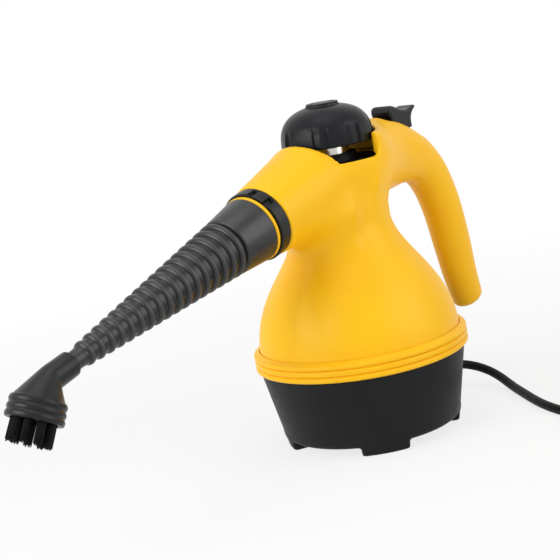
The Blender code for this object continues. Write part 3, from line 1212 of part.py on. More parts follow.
def make_well_ring(body):
    low = CUP_FLOOR_Z + GAP
    turned("well_ring", [(WELL_RING_IN_R, low), (CUP_R - GAP, low), (CUP_R - GAP, low + WELL_RING_H),
                         (WELL_RING_IN_R + WALL, low + WELL_RING_H), (WELL_RING_IN_R, low + WELL_RING_H / 2)],
           black_rubber(), body, 24)


def make_trigger(pivot):
    """A thumb lever. Its outline is in the pivot's frame."""
    top = [(-34.5, 27.6), (-33.5, 30.2), (-30.0, 31.4), (-24.0, 29.6), (-16.0, 27.0), (-7.0, 25.9), (1.0, 26.2),
           (8.0, 27.6), (12.5, 29.6), (15.0, 29.2), (12.0, 25.4), (8.2, 21.0), (6.6, 15.0), (6.4, 7.0)]
    boss = [(PIN_BOSS_R * math.cos(a), PIN_BOSS_R * math.sin(a)) for a in np.linspace(0.3, -math.pi * 0.75, 6)]
    pad = (STEM_TOP_Z + GAP - PIVOT_Z) / MM
    under = [(-12.0, 3.0), (-19.5, pad), (-31.5, pad), (-32.0, 22.0), (-34.0, 25.2)]
    outline = [(x * MM, z * MM) for x, z in top] + boss + [(x * MM, z * MM) for x, z in under]
    lever = extruded("trigger", outline, TRIGGER_W - 2 * GAP, black_plastic(), pivot, axis="Y")
    thin = []
    for side in (-1, 1):
        thin.append(block("thin", (-HANDLE_ROOT_WIDTH, side * TRIGGER_STEM_W / 2 if side > 0 else -TRIGGER_W, -HANDLE_ROOT_WIDTH),
                          (HANDLE_ROOT_WIDTH, TRIGGER_W if side > 0 else side * TRIGGER_STEM_W / 2, 12 * MM), None, pivot))
    bore = rod("bore", (0, -TRIGGER_W, 0), (0, TRIGGER_W, 0), PIN_R + GAP, None, pivot, 14)
    cut(lever, *thin, bore)
    rod("trigger_pin", (0, -TRIGGER_W / 2, 0), (0, TRIGGER_W / 2, 0), PIN_R, bright_metal(), pivot, 14)


def make_collar(axis):
    collar = turned("bayonet_collar", [
        (SPOUT_TUBE_R + GAP, -COLLAR_SPIGOT_BACK), (COLLAR_SPIGOT_R, -COLLAR_SPIGOT_BACK), (COLLAR_SPIGOT_R, GAP),
        (COLLAR_R, GAP), (COLLAR_R, COLLAR_LENGTH - GAP), (COLLAR_R - GAP, COLLAR_LENGTH), (COLLAR_BORE_R, COLLAR_LENGTH),
        (COLLAR_BORE_R, -COLLAR_SPIGOT_BACK + COLLAR_WEB), (SPOUT_TUBE_R + GAP, -COLLAR_SPIGOT_BACK + COLLAR_WEB)],
        black_plastic(), axis, 30)
    notches = []
    for angle in NOTCH_ANGLES:
        low = (COLLAR_R - NOTCH_DEPTH, -NOTCH_W / 2, COLLAR_LENGTH * 0.3)
        high = (COLLAR_R + OVERRUN, NOTCH_W / 2, COLLAR_LENGTH + OVERRUN)
        notch = block("notch", low, high, None, axis)
        notch.data.transform(Matrix.Rotation(-angle, 4, "Z"))
        notches.append(notch)
    cut(collar, *notches)
    turned("spout_tube", [(SPOUT_TUBE_BORE_R, SPOUT_TUBE_FROM), (SPOUT_TUBE_R, SPOUT_TUBE_FROM),
                          (SPOUT_TUBE_R, SPOUT_TUBE_TO), (SPOUT_TUBE_BORE_R, SPOUT_TUBE_TO)], brass(), axis, 16)


def rib_outline():
    """Ribs along the cone: each rises from its groove to a crest."""
    pitch = (RIB_LAST - RIB_FIRST) / (RIBS - 1)
    rows = []
    for k in range(RIBS):
        share = k / (RIBS - 1)
        top = RIB_FIRST_R + (RIB_LAST_R - RIB_FIRST_R) * share
        groove = top - RIB_DEPTH * (1 - 0.35 * share)
        middle = RIB_FIRST + pitch * k
        rows += [(groove, middle - pitch * 0.4), (top, middle + pitch * 0.1)]
    return rows


def make_nozzle(axis):
    pitch = (RIB_LAST - RIB_FIRST) / (RIBS - 1)
    outside = [(SPIGOT_R, SPIGOT_FROM), (SPIGOT_R, RING_TO + GAP), (SLEEVE_R, RING_TO + GAP),
               (SLEEVE_END_R, SLEEVE_END)] + rib_outline()
    outside += [(TIP_R, RIB_LAST + pitch * 0.55), (TIP_R, TIP_END)]
    bore_end_r = TIP_BORE_R
    bore_big = SPIGOT_R - NOZZLE_WALL * 1.6
    bore_mid = RIB_LAST_R - RIB_DEPTH - NOZZLE_WALL * 0.4
    inside = [(bore_end_r, TIP_END), (bore_end_r, RIB_LAST), (bore_mid, RIB_LAST - pitch), (bore_big, SLEEVE_END),
              (bore_big, SPIGOT_FROM)]
    cone = turned("nozzle_cone", outside + inside, black_plastic(), axis, 16)
    groove = turned("groove", [(SPIGOT_R - NOZZLE_SEAL_R * 1.4, NOZZLE_SEAL_AT - NOZZLE_SEAL_R - GAP),
                               (SPIGOT_R + CLEAR, NOZZLE_SEAL_AT - NOZZLE_SEAL_R - GAP),
                               (SPIGOT_R + CLEAR, NOZZLE_SEAL_AT + NOZZLE_SEAL_R + GAP),
                               (SPIGOT_R - NOZZLE_SEAL_R * 1.4, NOZZLE_SEAL_AT + NOZZLE_SEAL_R + GAP)], None, axis, 16)
    cut(cone, groove)
    seal_in = SPIGOT_R - NOZZLE_SEAL_R * 1.4 + GAP
    seal_out = COLLAR_BORE_R - GAP
    turned("nozzle_seal", [(seal_in, NOZZLE_SEAL_AT - NOZZLE_SEAL_R), (seal_out, NOZZLE_SEAL_AT - NOZZLE_SEAL_R / 2),
                           (seal_out, NOZZLE_SEAL_AT + NOZZLE_SEAL_R / 2), (seal_in, NOZZLE_SEAL_AT + NOZZLE_SEAL_R)],
           silicone(), axis, 16)
    turned("marker_ring", [(SPIGOT_R + GAP, RING_FROM), (RING_R, RING_FROM), (RING_R, RING_TO), (SPIGOT_R + GAP, RING_TO)],
           yellow_plastic(), axis, 28)


def make_brush(axis, bell_axis):
    """Socket, elbow and ridged bell lofted through circles, with the bristles' disc in the bell."""
    steps = 18
    rings = [(0, BRUSH_SOCKET_FROM, BRUSH_SOCKET_R - CLEAR), (0, BRUSH_SOCKET_FROM + CLEAR, BRUSH_SOCKET_R),
             (0, BRUSH_SOCKET_TO, BRUSH_SOCKET_R)]
    bm = bmesh.new()
    loops = []
    for _, along, radius in rings:
        loops.append([bm.verts.new((radius * math.cos(a), radius * math.sin(a), along))
                      for a in np.linspace(0, math.tau, steps, endpoint=False)])
    turn = Matrix.Translation((0, 0, BRUSH_ELBOW)) @ Matrix.Rotation(-BRUSH_BEND, 4, "Y")
    for share, radius in bell_profile():
        along = BELL_TOP_AT + (BELL_RIM_AT - BELL_TOP_AT) * share
        loops.append([bm.verts.new(turn @ Vector((radius * math.cos(a), radius * math.sin(a), along)))
                      for a in np.linspace(0, math.tau, steps, endpoint=False)])
    for a, b in zip(loops, loops[1:]):
        for i in range(steps):
            j = (i + 1) % steps
            bm.faces.new((a[i], a[j], b[j], b[i]))
    bm.faces.new(loops[0])
    bm.faces.new(loops[-1])
    head = add_object("brush_head", mesh_of(bm, "brush_head"), black_plastic(), axis)
    socket = rod("socket", (0, 0, BRUSH_SOCKET_FROM - OVERRUN), (0, 0, TIP_END + CLEAR), TIP_R + GAP, None, axis, 20)
    way = rod("way", (0, 0, TIP_END - OVERRUN), (0, 0, BRUSH_ELBOW), TIP_BORE_R, None, axis, 12)
    way.data.transform(Matrix.Translation((0, 0, 0)))
    recess = rod("recess", (0, 0, BELL_RIM_AT - BELL_RECESS_H), (0, 0, BELL_RIM_AT + OVERRUN), BELL_RECESS_R, None, bell_axis, 18)
    down = rod("down", (0, 0, 0), (0, 0, BELL_RIM_AT), TIP_BORE_R, None, bell_axis, 12)
    cut(head, socket, way, recess, down)
    make_bristles(bell_axis)


def bell_profile():
    """(share along, radius) for three ridges, a little wider at the rim."""
    rows = []
    for k in range(BELL_WAVES):
        for part, wave in ((0.2, 0.9), (0.6, 0.9), (0.95, -0.5)):
            share = (k + part) / BELL_WAVES
            rows.append((share, BELL_R + BELL_FLARE * share + BELL_WAVE * wave))
    rows = [(0.0, BELL_R - BELL_WAVE)] + rows[:-1] + [(1.0, BELL_R + BELL_FLARE - BELL_WAVE)]
    return rows


def make_bristles(bell_axis):
    """Tufts of three-sided strands on a sunflower pattern, fused to a ring-shaped backing. They taper to a point."""
    top = BELL_RIM_AT - BELL_RECESS_H + GAP
    backing = turned("bristles", [(TIP_BORE_R + CLEAR, top), (BELL_RECESS_R - GAP, top),
                                  (BELL_RECESS_R - GAP, top + BACKING_H), (TIP_BORE_R + CLEAR, top + BACKING_H)],
                     nylon(), bell_axis, 16)
    bm = bmesh.new()
    golden = math.pi * (3 - math.sqrt(5))
    for tuft in range(TUFTS):
        around = math.tau * tuft / TUFTS
        centre = Vector((TUFT_RING_R * math.cos(around), TUFT_RING_R * math.sin(around), 0))
        lean = Vector((math.cos(around), math.sin(around), 0)) * BRISTLE_SPLAY_SHARE
        for k in range(STRANDS_PER_TUFT):
            r = TUFT_R * math.sqrt((k + 0.5) / STRANDS_PER_TUFT)
            offset = Vector((r * math.cos(k * golden), r * math.sin(k * golden), 0))
            uneven = BRISTLE_UNEVEN * math.sin(7 * k + 3 * tuft)
            length = BRISTLE_LENGTH + uneven
            low = centre + offset + Vector((0, 0, top + BACKING_H / 2))
            high = centre + offset * 1.12 + lean * length + Vector((0, 0, top + BACKING_H + length))
            foot = [bm.verts.new(low + Vector((STRAND_R * math.cos(a), STRAND_R * math.sin(a), 0)))
                    for a in (0.0, math.tau / 3, 2 * math.tau / 3)]
            tip = bm.verts.new(high)
            for i in range(3):
                bm.faces.new((foot[i], foot[(i + 1) % 3], tip))
            bm.faces.new(foot[::-1])
    strands = add_object("strands", mesh_of(bm, "strands"), None, bell_axis)
    return join(backing, strands)


def shade():
    for obj in bpy.data.objects:
        if obj.type == "MESH":
            obj.data.shade_smooth()
            obj.data.set_sharp_from_angle(angle=math.radians(35))


def main():
    clear_scene()
    body = holder("body_axis", place=(AXIS_X, 0, 0))
    pivot = holder("trigger_pivot", body, (PIVOT_X, 0, PIVOT_Z))
    nozzle_axis = holder("nozzle_axis", body, (SPOUT_FACE_X, 0, SPOUT_FACE_Z), -(math.pi / 2 + NOZZLE_TILT))
    bell_axis = holder("brush_axis", nozzle_axis, (0, 0, BRUSH_ELBOW), -BRUSH_BEND)
    bpy.context.view_layer.update()
    make_base(body)
    make_band(body)
    make_housing(body)
    make_screws(body)
    make_boiler(body)
    make_steam_path(body)
    make_wiring(body)
    make_well_ring(body)
    make_cap(body)
    make_trigger(pivot)
    make_collar(nozzle_axis)
    make_nozzle(nozzle_axis)
    make_brush(nozzle_axis, bell_axis)
    make_cord(body)
    shade()


main()
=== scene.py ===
"""Handheld steam cleaner: yellow housing on a black base, ribbed nozzle with a bent brush, domed cap, thumb lever
and mains lead. Lengths are millimetres from the middle of the housing's round foot, the nozzle towards -X, until
they go into a mesh, a lamp or the camera, which take metres."""
import math

import bpy
import numpy as np
from mathutils import Matrix


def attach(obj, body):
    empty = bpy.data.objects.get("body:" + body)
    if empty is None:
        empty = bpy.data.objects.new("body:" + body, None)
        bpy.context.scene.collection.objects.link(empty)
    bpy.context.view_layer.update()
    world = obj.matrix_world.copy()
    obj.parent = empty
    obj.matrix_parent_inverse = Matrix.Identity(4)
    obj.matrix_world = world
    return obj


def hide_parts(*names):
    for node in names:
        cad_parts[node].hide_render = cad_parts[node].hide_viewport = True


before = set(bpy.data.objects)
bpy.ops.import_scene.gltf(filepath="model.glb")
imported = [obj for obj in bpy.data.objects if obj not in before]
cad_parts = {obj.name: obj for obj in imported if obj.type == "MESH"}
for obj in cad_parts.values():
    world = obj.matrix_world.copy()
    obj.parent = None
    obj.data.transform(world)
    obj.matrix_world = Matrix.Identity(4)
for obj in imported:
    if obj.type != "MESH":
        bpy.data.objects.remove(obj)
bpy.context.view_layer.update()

MM = 0.001
TAU = math.tau
AXIS_X = 81.4
GAP = 0.3
WALL = 2.5

# Housing
BASE_TOP_R, BASE_LOW_R, BASE_TOP_Z, FOOT_H, RIM_TOP_Z = 71.4, 61.2, 56.3, 6.0, 60.3
SKIRT_R, NECK_R, NECK_Z, BELL_FROM_Z, BELL_POWER = 69.8, 34.0, 151.0, 53.5, 1.49
CUP_R, CUP_FLOOR_Z, FLARE_FROM_Z, FLARE_TO_Z, HOOD_Z = 36.5, 185.0, 165.0, 192.0, 207.5
TILT = math.radians(13.5)
FACE_X, FACE_Z = -77.9, 166.8
BARREL_FACE_R, BARREL_R, BARREL_FLARE = 24.4, 30.2, 0.125
BLEND_BODY, BLEND_ARMPIT, BLEND_HANDLE, BLEND_HOOD = 6.0, 30.0, 10.0, 5.0
LIP_Z, LIP_BACK_X, LIP_CORNER, LIP_BACK_STEP = 192.5, 6.5, 7.0, 3.9
SLOT_FRONT_X, SLOT_BACK_X, SLOT_W, SLOT_LOW_Z = 54.0, 97.5, 19.4, 188.0
PIVOT_X, PIVOT_Z = 88.0, 186.5
NECK_HOLE_R = 14.2
BOSSES = ((-57.0, 84.0), (57.0, 84.0), (-55.0, 153.0), (84.0, 166.0), (126.5, 88.0))
COUNTERBORE_Y = 8.0
BOSS_R, COUNTERBORE_R, COVERED_BOSS = 5.2, 3.1, 0
POST_AT_R, POST_R, WELL_R, WELL_TOP_Z = 51.5, 6.0, 4.0, 50.0
BAND_EDGES = np.array((55.8, 59.9, 64.3, 68.0))
BAND_GROOVE_R, BAND_RIB_LIFT = 72.25, 1.75
FOOT_ANGLES = np.radians([45, 135, 225, 315])
FOOT_SHIFT, FOOT_SPREAD, FOOT_IN_X = math.radians(1.0), math.tan(math.radians(16.2)), 43.0

# Handle: centre line, half depth and half width from root to tip
HANDLE_REACH, HANDLE_ROOT_Z, HANDLE_TIP_Z, HANDLE_TIP_ROUND, HANDLE_TIP_CUT = 135.5, 184.0, 52.0, 7.0, 4.4
HANDLE_DEPTH, HANDLE_WIDTH, HANDLE_SAMPLES, HANDLE_CLEAR_X = 26.0, 37.0, 162, 95.0
HANDLE_WAY = np.array(((0, .992), (.221, 1.008), (.428, 1.008), (.587, .970), (.705, .905), (.793, .795),
                       (.860, .629), (.908, .402), (.943, .205), (1, 0)))
HANDLE_DEPTHS = np.array((1, 1, .98, .79, .655, .627, .615, .604, .545, .475))
HANDLE_WIDTHS = np.array((1, .84, .568, .473, .414, .378, .36, .338, .311, .27))

# Cap
CAP_R, CAP_RIM_Z, CAP_DOME_H, CAP_TONGUES, TONGUE_H, TONGUE_DEPTH = 31.5, 202.6, 27.4, 8, 16.0, 1.9
TONGUE_PHASE, TONGUE_SHARE = math.radians(8.8), 0.54
CAP_UNDER_Z, DISC_R, DISC_TOP_Z, DISC_RING_R, DISC_RING_W = 223.0, 11.4, 231.2, 8.4, 1.8
CAP_TOP_Z = 228.6
NECK_TOP_Z, NECK_LOW_Z, NECK_TUBE_R, NECK_BORE_R = 203.3, 110.3, 13.5, 10.5
WELL_RING_H, HUB_TOP_Z = 5.7, 196.5

# Collar, nozzle and brush, measured forward from the spout's face
COLLAR_R, COLLAR_LENGTH, COLLAR_BORE_R, COLLAR_SPIGOT_R = 23.8, 9.0, 20.2, 21.3
NOTCH_ANGLES, NOTCH_DEPTH = np.radians([16, 47, 196, 227]), 2.2
SLEEVE_R, SLEEVE_END_R, SLEEVE_END = 22.2, 19.2, 38.5
RING_FROM, RING_TO, RING_R = 9.7, 12.2, 22.35
RIBS, RIB_FIRST, RIB_LAST, RIB_FIRST_R, RIB_LAST_R, RIB_DEPTH = 17, 42.5, 169.0, 19.0, 7.8, 1.9
TIP_R, TIP_END, TIP_BORE_R = 5.4, 196.0, 2.6
BRUSH_ELBOW, BRUSH_SOCKET_FROM, BRUSH_SOCKET_TO, BRUSH_SOCKET_R = 203.8, 180.6, 197.0, 7.9
BELL_TOP, BELL_RIM, BRUSH_BELL_R, BELL_RECESS_R, BELL_RECESS_H = 8.4, 21.2, 16.6, 14.0, 5.0
TUFTS, TUFT_RING_R, TUFT_R, BRISTLE_LENGTH = 9, 10.9, 2.3, 14.5

# Mains lead
CORD_R, CORD_Z, RELIEF_FROM, RELIEF_LENGTH = 3.2, 18.0, 62.5, 22.0
CORD_ROUTE = np.array((
    (84.8, 0, 18), (91.2, 0, 18), (99, -2.6, 17.4), (105.3, -8.2, 16), (109, -16.5, 13.6), (109.4, -26.5, 10.6),
    (106.8, -36.5, 7.6), (102, -46, 5.2), (96, -55.5, 3.7), (89.2, -65, 3.3), (81.8, -74.8, 3.3), (74.2, -85, 3.3),
    (66.8, -95.8, 3.3), (60, -107.5, 3.3), (54.4, -120, 3.3), (50.4, -133.5, 3.4), (48.2, -147.5, 4),
    (47.6, -161.5, 4.6), (47.6, -168, 4.7)))
COIL_R, COIL_PITCH, COIL_TURNS, COIL_LAYERS, COIL_LIFT, COIL_START = 38.0, 6.9, 1.75, 4, 1.5, 6.4
PLUG_R, PLUG_LENGTH, PLUG_AWAY, PLUG_ASIDE, PIN_SPACING = 18.0, 36.0, 34.0, 8.0, 19.0

# Light and camera, in metres and degrees
WHITE, PALE, ROOM_LIGHT = (1, 1, 1, 1), (0.86, 0.86, 0.86, 1), 0.42
LAMP_TARGET = (0.05, 0, 0.13)
LAMPS = (("key", (-0.95, 0.20, 0.55), 0.8, 8.0), ("fill", (0.35, -0.95, 0.50), 0.9, 4.6),
         ("top", (-0.05, -0.1, 1.1), 0.8, 2.2))
VIEW_ANGLES, VIEW_TARGET, LENS = (-47.28, 10.78, 9.70), (0.01138, 0, 0.12604), 98.65


def turn_about_y(angle):
    """Rows are the turned X, Y and Z axes."""
    c, s = math.cos(angle), math.sin(angle)
    return np.array(((c, 0, -s), (0, 1, 0), (s, 0, c)))


BODY = (np.zeros(3), np.eye(3))
NOZZLE = (np.array((FACE_X, 0, FACE_Z)), turn_about_y(-(math.pi / 2 + TILT)))
BRUSH = (NOZZLE[0] + NOZZLE[1][2] * BRUSH_ELBOW, turn_about_y(-(math.pi * 3 / 4 + TILT)))
PIVOT = (np.array((PIVOT_X, 0, PIVOT_Z)), np.eye(3))
SIDEWAYS = np.array(((1, 0, 0), (0, 0, -1), (0, 1, 0)), float)
ENDWAYS = np.array(((0, 0, -1), (0, 1, 0), (1, 0, 0)), float)


# Surfaces

def rounded(points, setbacks, steps=5):
    """Corner rounding. Each corner of a run gives way to a parabola that starts and ends its setback away from it.
    Works on a run of points, and on a run of rings."""
    points = np.asarray(points, float)
    before, after = np.roll(points, 1, 0) - points, np.roll(points, -1, 0) - points
    before[0], after[-1] = after[0], before[-1]
    near = np.maximum(np.linalg.norm(before, axis=-1, keepdims=True), 1e-9)
    far = np.maximum(np.linalg.norm(after, axis=-1, keepdims=True), 1e-9)
    setbacks = np.broadcast_to(np.reshape(setbacks, (-1,) + (1,) * (points.ndim - 1)), near.shape).copy()
    setbacks[0] = setbacks[-1] = 0
    cut = np.minimum(setbacks, 0.49 * np.minimum(near, far))
    start, end = points + before / near * cut, points + after / far * cut
    t = np.linspace(0, 1, steps + 1).reshape((1, -1) + (1,) * (points.ndim - 1))
    run = (1 - t) ** 2 * start[:, None] + 2 * t * (1 - t) * points[:, None] + t * t * end[:, None]
    run = run.reshape((-1,) + points.shape[1:])
    moved = np.abs(np.diff(run, axis=0)).reshape(len(run) - 1, -1).max(axis=1) > 1e-4
    return run[np.concatenate([[True], moved])]


def loft(points, round_rows=False, round_columns=True):
    """Faces over a grid of points (rows, columns, 3). A row whose points fall together is closed as a pole."""
    rows, columns = points.shape[:2]
    index = np.arange(rows * columns).reshape(rows, columns)
    poles = np.ptp(points, axis=1).max(axis=1) < 1e-6
    index[poles] = index[poles, :1]
    if round_rows:
        index = np.vstack([index, index[:1]])
    if round_columns:
        index = np.hstack([index, index[:, :1]])
    quads = np.stack([index[:-1, :-1], index[:-1, 1:], index[1:, 1:], index[1:, :-1]], -1).reshape(-1, 4)
    low, high = quads[:, 0] == quads[:, 1], quads[:, 2] == quads[:, 3]
    corners = np.vstack([quads[low & ~high][:, [0, 2, 3]], quads[high & ~low][:, [0, 1, 2]]])
    return points.reshape(-1, 3), quads[~low & ~high], corners


def revolved(outline, steps=96, closed=False, shift=None):
    """An outline of (radius, height) carried round the axis. It runs anticlockwise round its material. The shift is a
    function of radius, height and angle that gives how much the radius changes there."""
    turn = np.linspace(0, TAU, steps, endpoint=False)[None]
    r, z = outline[:, :1] + 0 * turn, outline[:, 1:] + 0 * turn
    if shift is not None:
        r = r + shift(r, z, turn)
    return loft(np.stack([r * np.cos(turn), r * np.sin(turn), z], -1), round_rows=closed)


def outline_of(*corners, steps=5, closed=False):
    """(radius, height, setback) corners to a rounded run. A closed run starts at the middle of its last stretch."""
    corners = np.array(corners, float)
    if closed:
        middle = (corners[0] + corners[-1]) / 2
        corners = np.vstack([middle, corners, middle])
    run = rounded(corners[:, :2], corners[:, 2], steps)
    return run[:-1] if closed else run


def swept(path, across, up, round_path=False, capped=True):
    """A profile of (across, up) carried along a path. The across way is level and square to the path. Both ends close
    on the path's own end points."""
    way = np.gradient(path, axis=0)
    if round_path:
        way = np.roll(path, -1, 0) - np.roll(path, 1, 0)
    way /= np.linalg.norm(way, axis=1, keepdims=True)
    side = np.cross(way, (0, 0, 1.0))
    side /= np.linalg.norm(side, axis=1, keepdims=True)
    lift = np.cross(side, way)
    points = path[:, None] + side[:, None] * across[None, :, None] + lift[:, None] * up[None, :, None]
    if capped and not round_path:
        ends = np.repeat(path[[0, -1], None], len(across), axis=1)
        points = np.concatenate([ends[:1], points, ends[1:]])
    return loft(points, round_rows=round_path)


def placed(shape, axes):
    """A shape turned and shifted into the body's frame."""
    return (axes[0] + shape[0] @ axes[1],) + tuple(shape[1:])


def curve_through(points, steps):
    """Catmull-Rom: between two points a cubic whose slope at each is half the way between its neighbours."""
    p = np.asarray(points, float)
    p = np.vstack([2 * p[0] - p[1], p, 2 * p[-1] - p[-2]])
    t = (np.arange(steps) / steps)[None, :, None]
    a, b, c, d = (p[i:len(p) - 3 + i, None] for i in range(4))
    run = 0.5 * (2 * b + (c - a) * t + (2 * a - 5 * b + 4 * c - d) * t ** 2 + (3 * b - a - 3 * c + d) * t ** 3)
    return np.vstack([run.reshape(-1, p.shape[1]), p[-2:-1]])


def piece(name, shapes, finish, body, *stands_for, crease=32.0):
    """One object from closed shapes of (points, quads, triangles[, normals]). Creases sharper than the angle stay."""
    points, quads, corners, normals, first = [], [], [], [], 0
    for shape in shapes:
        points.append(shape[0])
        quads.append(shape[1] + first)
        corners.append(shape[2] + first)
        normals.append(shape[3] if len(shape) > 3 else None)
        first += len(shape[0])
    points, quads, corners = np.vstack(points), np.vstack(quads), np.vstack(corners)
    loops = np.concatenate([corners.ravel(), quads.ravel()]).astype(np.int64)
    used, loops = np.unique(loops, return_inverse=True)
    starts = np.concatenate([np.arange(len(corners)) * 3, len(corners) * 3 + np.arange(len(quads)) * 4])
    mesh = bpy.data.meshes.new(name)
    mesh.vertices.add(len(used))
    mesh.vertices.foreach_set("co", ((points[used] + (AXIS_X, 0, 0)) * MM).astype(np.float32).ravel())
    mesh.loops.add(len(loops))
    mesh.loops.foreach_set("vertex_index", loops.astype(np.int32).ravel())
    mesh.polygons.add(len(starts))
    mesh.polygons.foreach_set("loop_start", starts.astype(np.int32))
    mesh.polygons.foreach_set("use_smooth", np.ones(len(starts), bool))
    mesh.update(calc_edges=True)
    mesh.validate()
    if all(n is not None for n in normals):
        mesh.normals_split_custom_set_from_vertices(np.vstack(normals)[used])
    else:
        mesh.set_sharp_from_angle(angle=math.radians(crease))
    mesh.materials.append(finish)
    obj = bpy.data.objects.new(name, mesh)
    bpy.context.scene.collection.objects.link(obj)
    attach(obj, body)
    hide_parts(*stands_for)
    return obj


def turned(name, run, steps, finish, body, node, crease, axes=BODY, closed=True, shift=None):
    """One round piece: an outline carried round the axis, then turned and shifted into the body's frame."""
    shape = placed(revolved(run, steps, closed=closed, shift=shift), axes)
    return piece(name, [shape], finish, body, node, crease=crease)


# Solids given by a field that is negative inside

def lower(a, b, width):
    """The lower of two fields. Where they differ by less than the width, a parabola rounds their meeting."""
    share = np.clip(0.5 + 0.5 * (b - a) / width, 0, 1)
    return b + (a - b) * share - width * share * (1 - share)


def upper(a, b, width):
    """The higher of two fields, rounded in the same way."""
    return -lower(-a, -b, width)


def slope_of(field, p, step=0.05):
    """The field's slope by central differences."""
    shifts = np.eye(3) * step
    return np.stack([field(*(p + s).T) - field(*(p - s).T) for s in shifts], 1) / (2 * step)


def smooth(t):
    """0 to 1 with level ends: three squares less two cubes."""
    t = np.clip(t, 0, 1)
    return t * t * (3 - 2 * t)


def skin_of(field, xs, ys, zs, shade=None, slab=12):
    """The surface where a field is zero. Each lattice cell that it crosses gets one point, at the mean of the
    crossings on the cell's edges, and each crossed edge gets the quad of the four cells round it. Then the points
    slide down the field's slope onto the surface. Normals are the slope of the field, or of the one given as shade."""
    levels = (xs, ys, zs)
    value = np.concatenate([field(xs[i:i + slab, None, None], ys[None, :, None], zs[None, None, :])
                            for i in range(0, len(xs), slab)])
    cells, crossings = [], []
    for a in range(3):
        b, c = (a + 1) % 3, (a + 2) % 3
        low, high = (np.take(value, range(k, value.shape[a] - 1 + k), axis=a) for k in (0, 1))
        edge = np.argwhere((low < 0) != (high < 0))
        at = tuple(edge.T)
        point = np.stack([levels[k][edge[:, k]] for k in range(3)], 1)
        point[:, a] += (levels[a][edge[:, a] + 1] - levels[a][edge[:, a]]) * low[at] / (low[at] - high[at])
        round_edge = np.repeat(edge[:, None], 4, axis=1)
        round_edge[:, :, b] += np.array((-1, 0, 0, -1))
        round_edge[:, :, c] += np.array((-1, -1, 0, 0))
        inward = low[at] >= 0
        round_edge[inward] = round_edge[inward][:, ::-1]
        cells.append(np.ravel_multi_index(tuple(np.moveaxis(round_edge, -1, 0)), value.shape))
        crossings.append(np.repeat(point[:, None], 4, axis=1))
    cells, crossings = np.vstack(cells), np.vstack(crossings).reshape(-1, 3)
    _, quads = np.unique(cells, return_inverse=True)
    quads = quads.reshape(-1, 4)
    count = np.bincount(quads.ravel())
    p = np.stack([np.bincount(quads.ravel(), crossings[:, k]) for k in range(3)], 1) / count[:, None]
    for _ in range(3):
        slope = slope_of(field, p)
        steep = np.maximum((slope ** 2).sum(1), 1e-4)
        p -= np.clip(field(*p.T) / steep, -0.6, 0.6)[:, None] * slope
    slope = slope_of(shade or field, p)
    normals = slope / np.maximum(np.linalg.norm(slope, axis=1, keepdims=True), 1e-9)
    return p, quads, np.zeros((0, 3), int), normals


def steps_from(low, high, step):
    return np.arange(low, high + step, step)


def bell_radius(z):
    """Skirt to neck along a cosine, then out again to the cap's well."""
    fall = np.clip((z - BELL_FROM_Z) / (NECK_Z - BELL_FROM_Z), 0, 1) ** BELL_POWER
    bell = NECK_R + (SKIRT_R - NECK_R) * 0.5 * (1 + np.cos(np.pi * fall))
    flare = (z - FLARE_FROM_Z) / (FLARE_TO_Z - FLARE_FROM_Z)
    return bell + (CUP_R + WALL - NECK_R) * smooth(flare)


def bell_field(x, y, z, inset):
    """Distance from the axis less the bell's radius, over the steepness of its side."""
    slope = bell_radius(z + 0.5) - bell_radius(z - 0.5)
    return (np.hypot(x, y) - bell_radius(z) + inset) / np.sqrt(1 + slope ** 2)


def down_the_spout(x, z):
    """How far a point lies inside the spout's face, and how far above the spout's line."""
    dx, dz = x - FACE_X, z - FACE_Z
    return dx * math.cos(TILT) + dz * math.sin(TILT), dz * math.cos(TILT) - dx * math.sin(TILT)


def barrel_field(x, y, z, inset):
    """Distance from the spout's line less its radius, which grows evenly into the body. The skin ends at the spout's
    face, the hollow runs on through it."""
    along, above = down_the_spout(x, z)
    radius = np.clip(BARREL_FACE_R + BARREL_FLARE * along, 0, BARREL_R)
    field = np.maximum(np.hypot(y, above) - radius + inset, x)
    return field if inset else upper(field, -along, 1.8)


def handle_line(inset):
    """Even samples of the centre line with its normal, half depth and half width, which close to a round tip."""
    rows = np.column_stack([HANDLE_WAY[:, 0] * HANDLE_REACH,
                            HANDLE_TIP_Z + HANDLE_WAY[:, 1] * (HANDLE_ROOT_Z - HANDLE_TIP_Z),
                            HANDLE_DEPTHS * HANDLE_DEPTH, HANDLE_WIDTHS * HANDLE_WIDTH])
    rows = curve_through(rows, HANDLE_SAMPLES // (len(HANDLE_WAY) - 1))
    run = np.concatenate([[0], np.cumsum(np.hypot(*np.diff(rows[:, :2], axis=0).T))])
    even = np.linspace(0, run[-1] - HANDLE_TIP_CUT - inset, HANDLE_SAMPLES)
    x, z, depth, width = (np.interp(even, run, rows[:, k]) for k in range(4))
    wx, wz = np.gradient(x), np.gradient(z)
    long = np.hypot(wx, wz)
    rounding = np.clip((even - even[-1] + HANDLE_TIP_ROUND) / HANDLE_TIP_ROUND, 0, 1)
    close = np.sqrt(np.clip(1 - rounding ** 2.6, 1e-4, 1))
    return np.stack([x, z, wx / long, wz / long, (depth - inset) * close, (width - inset) * close])


HANDLE_LINES = {inset: handle_line(inset) for inset in (0.0, WALL)}


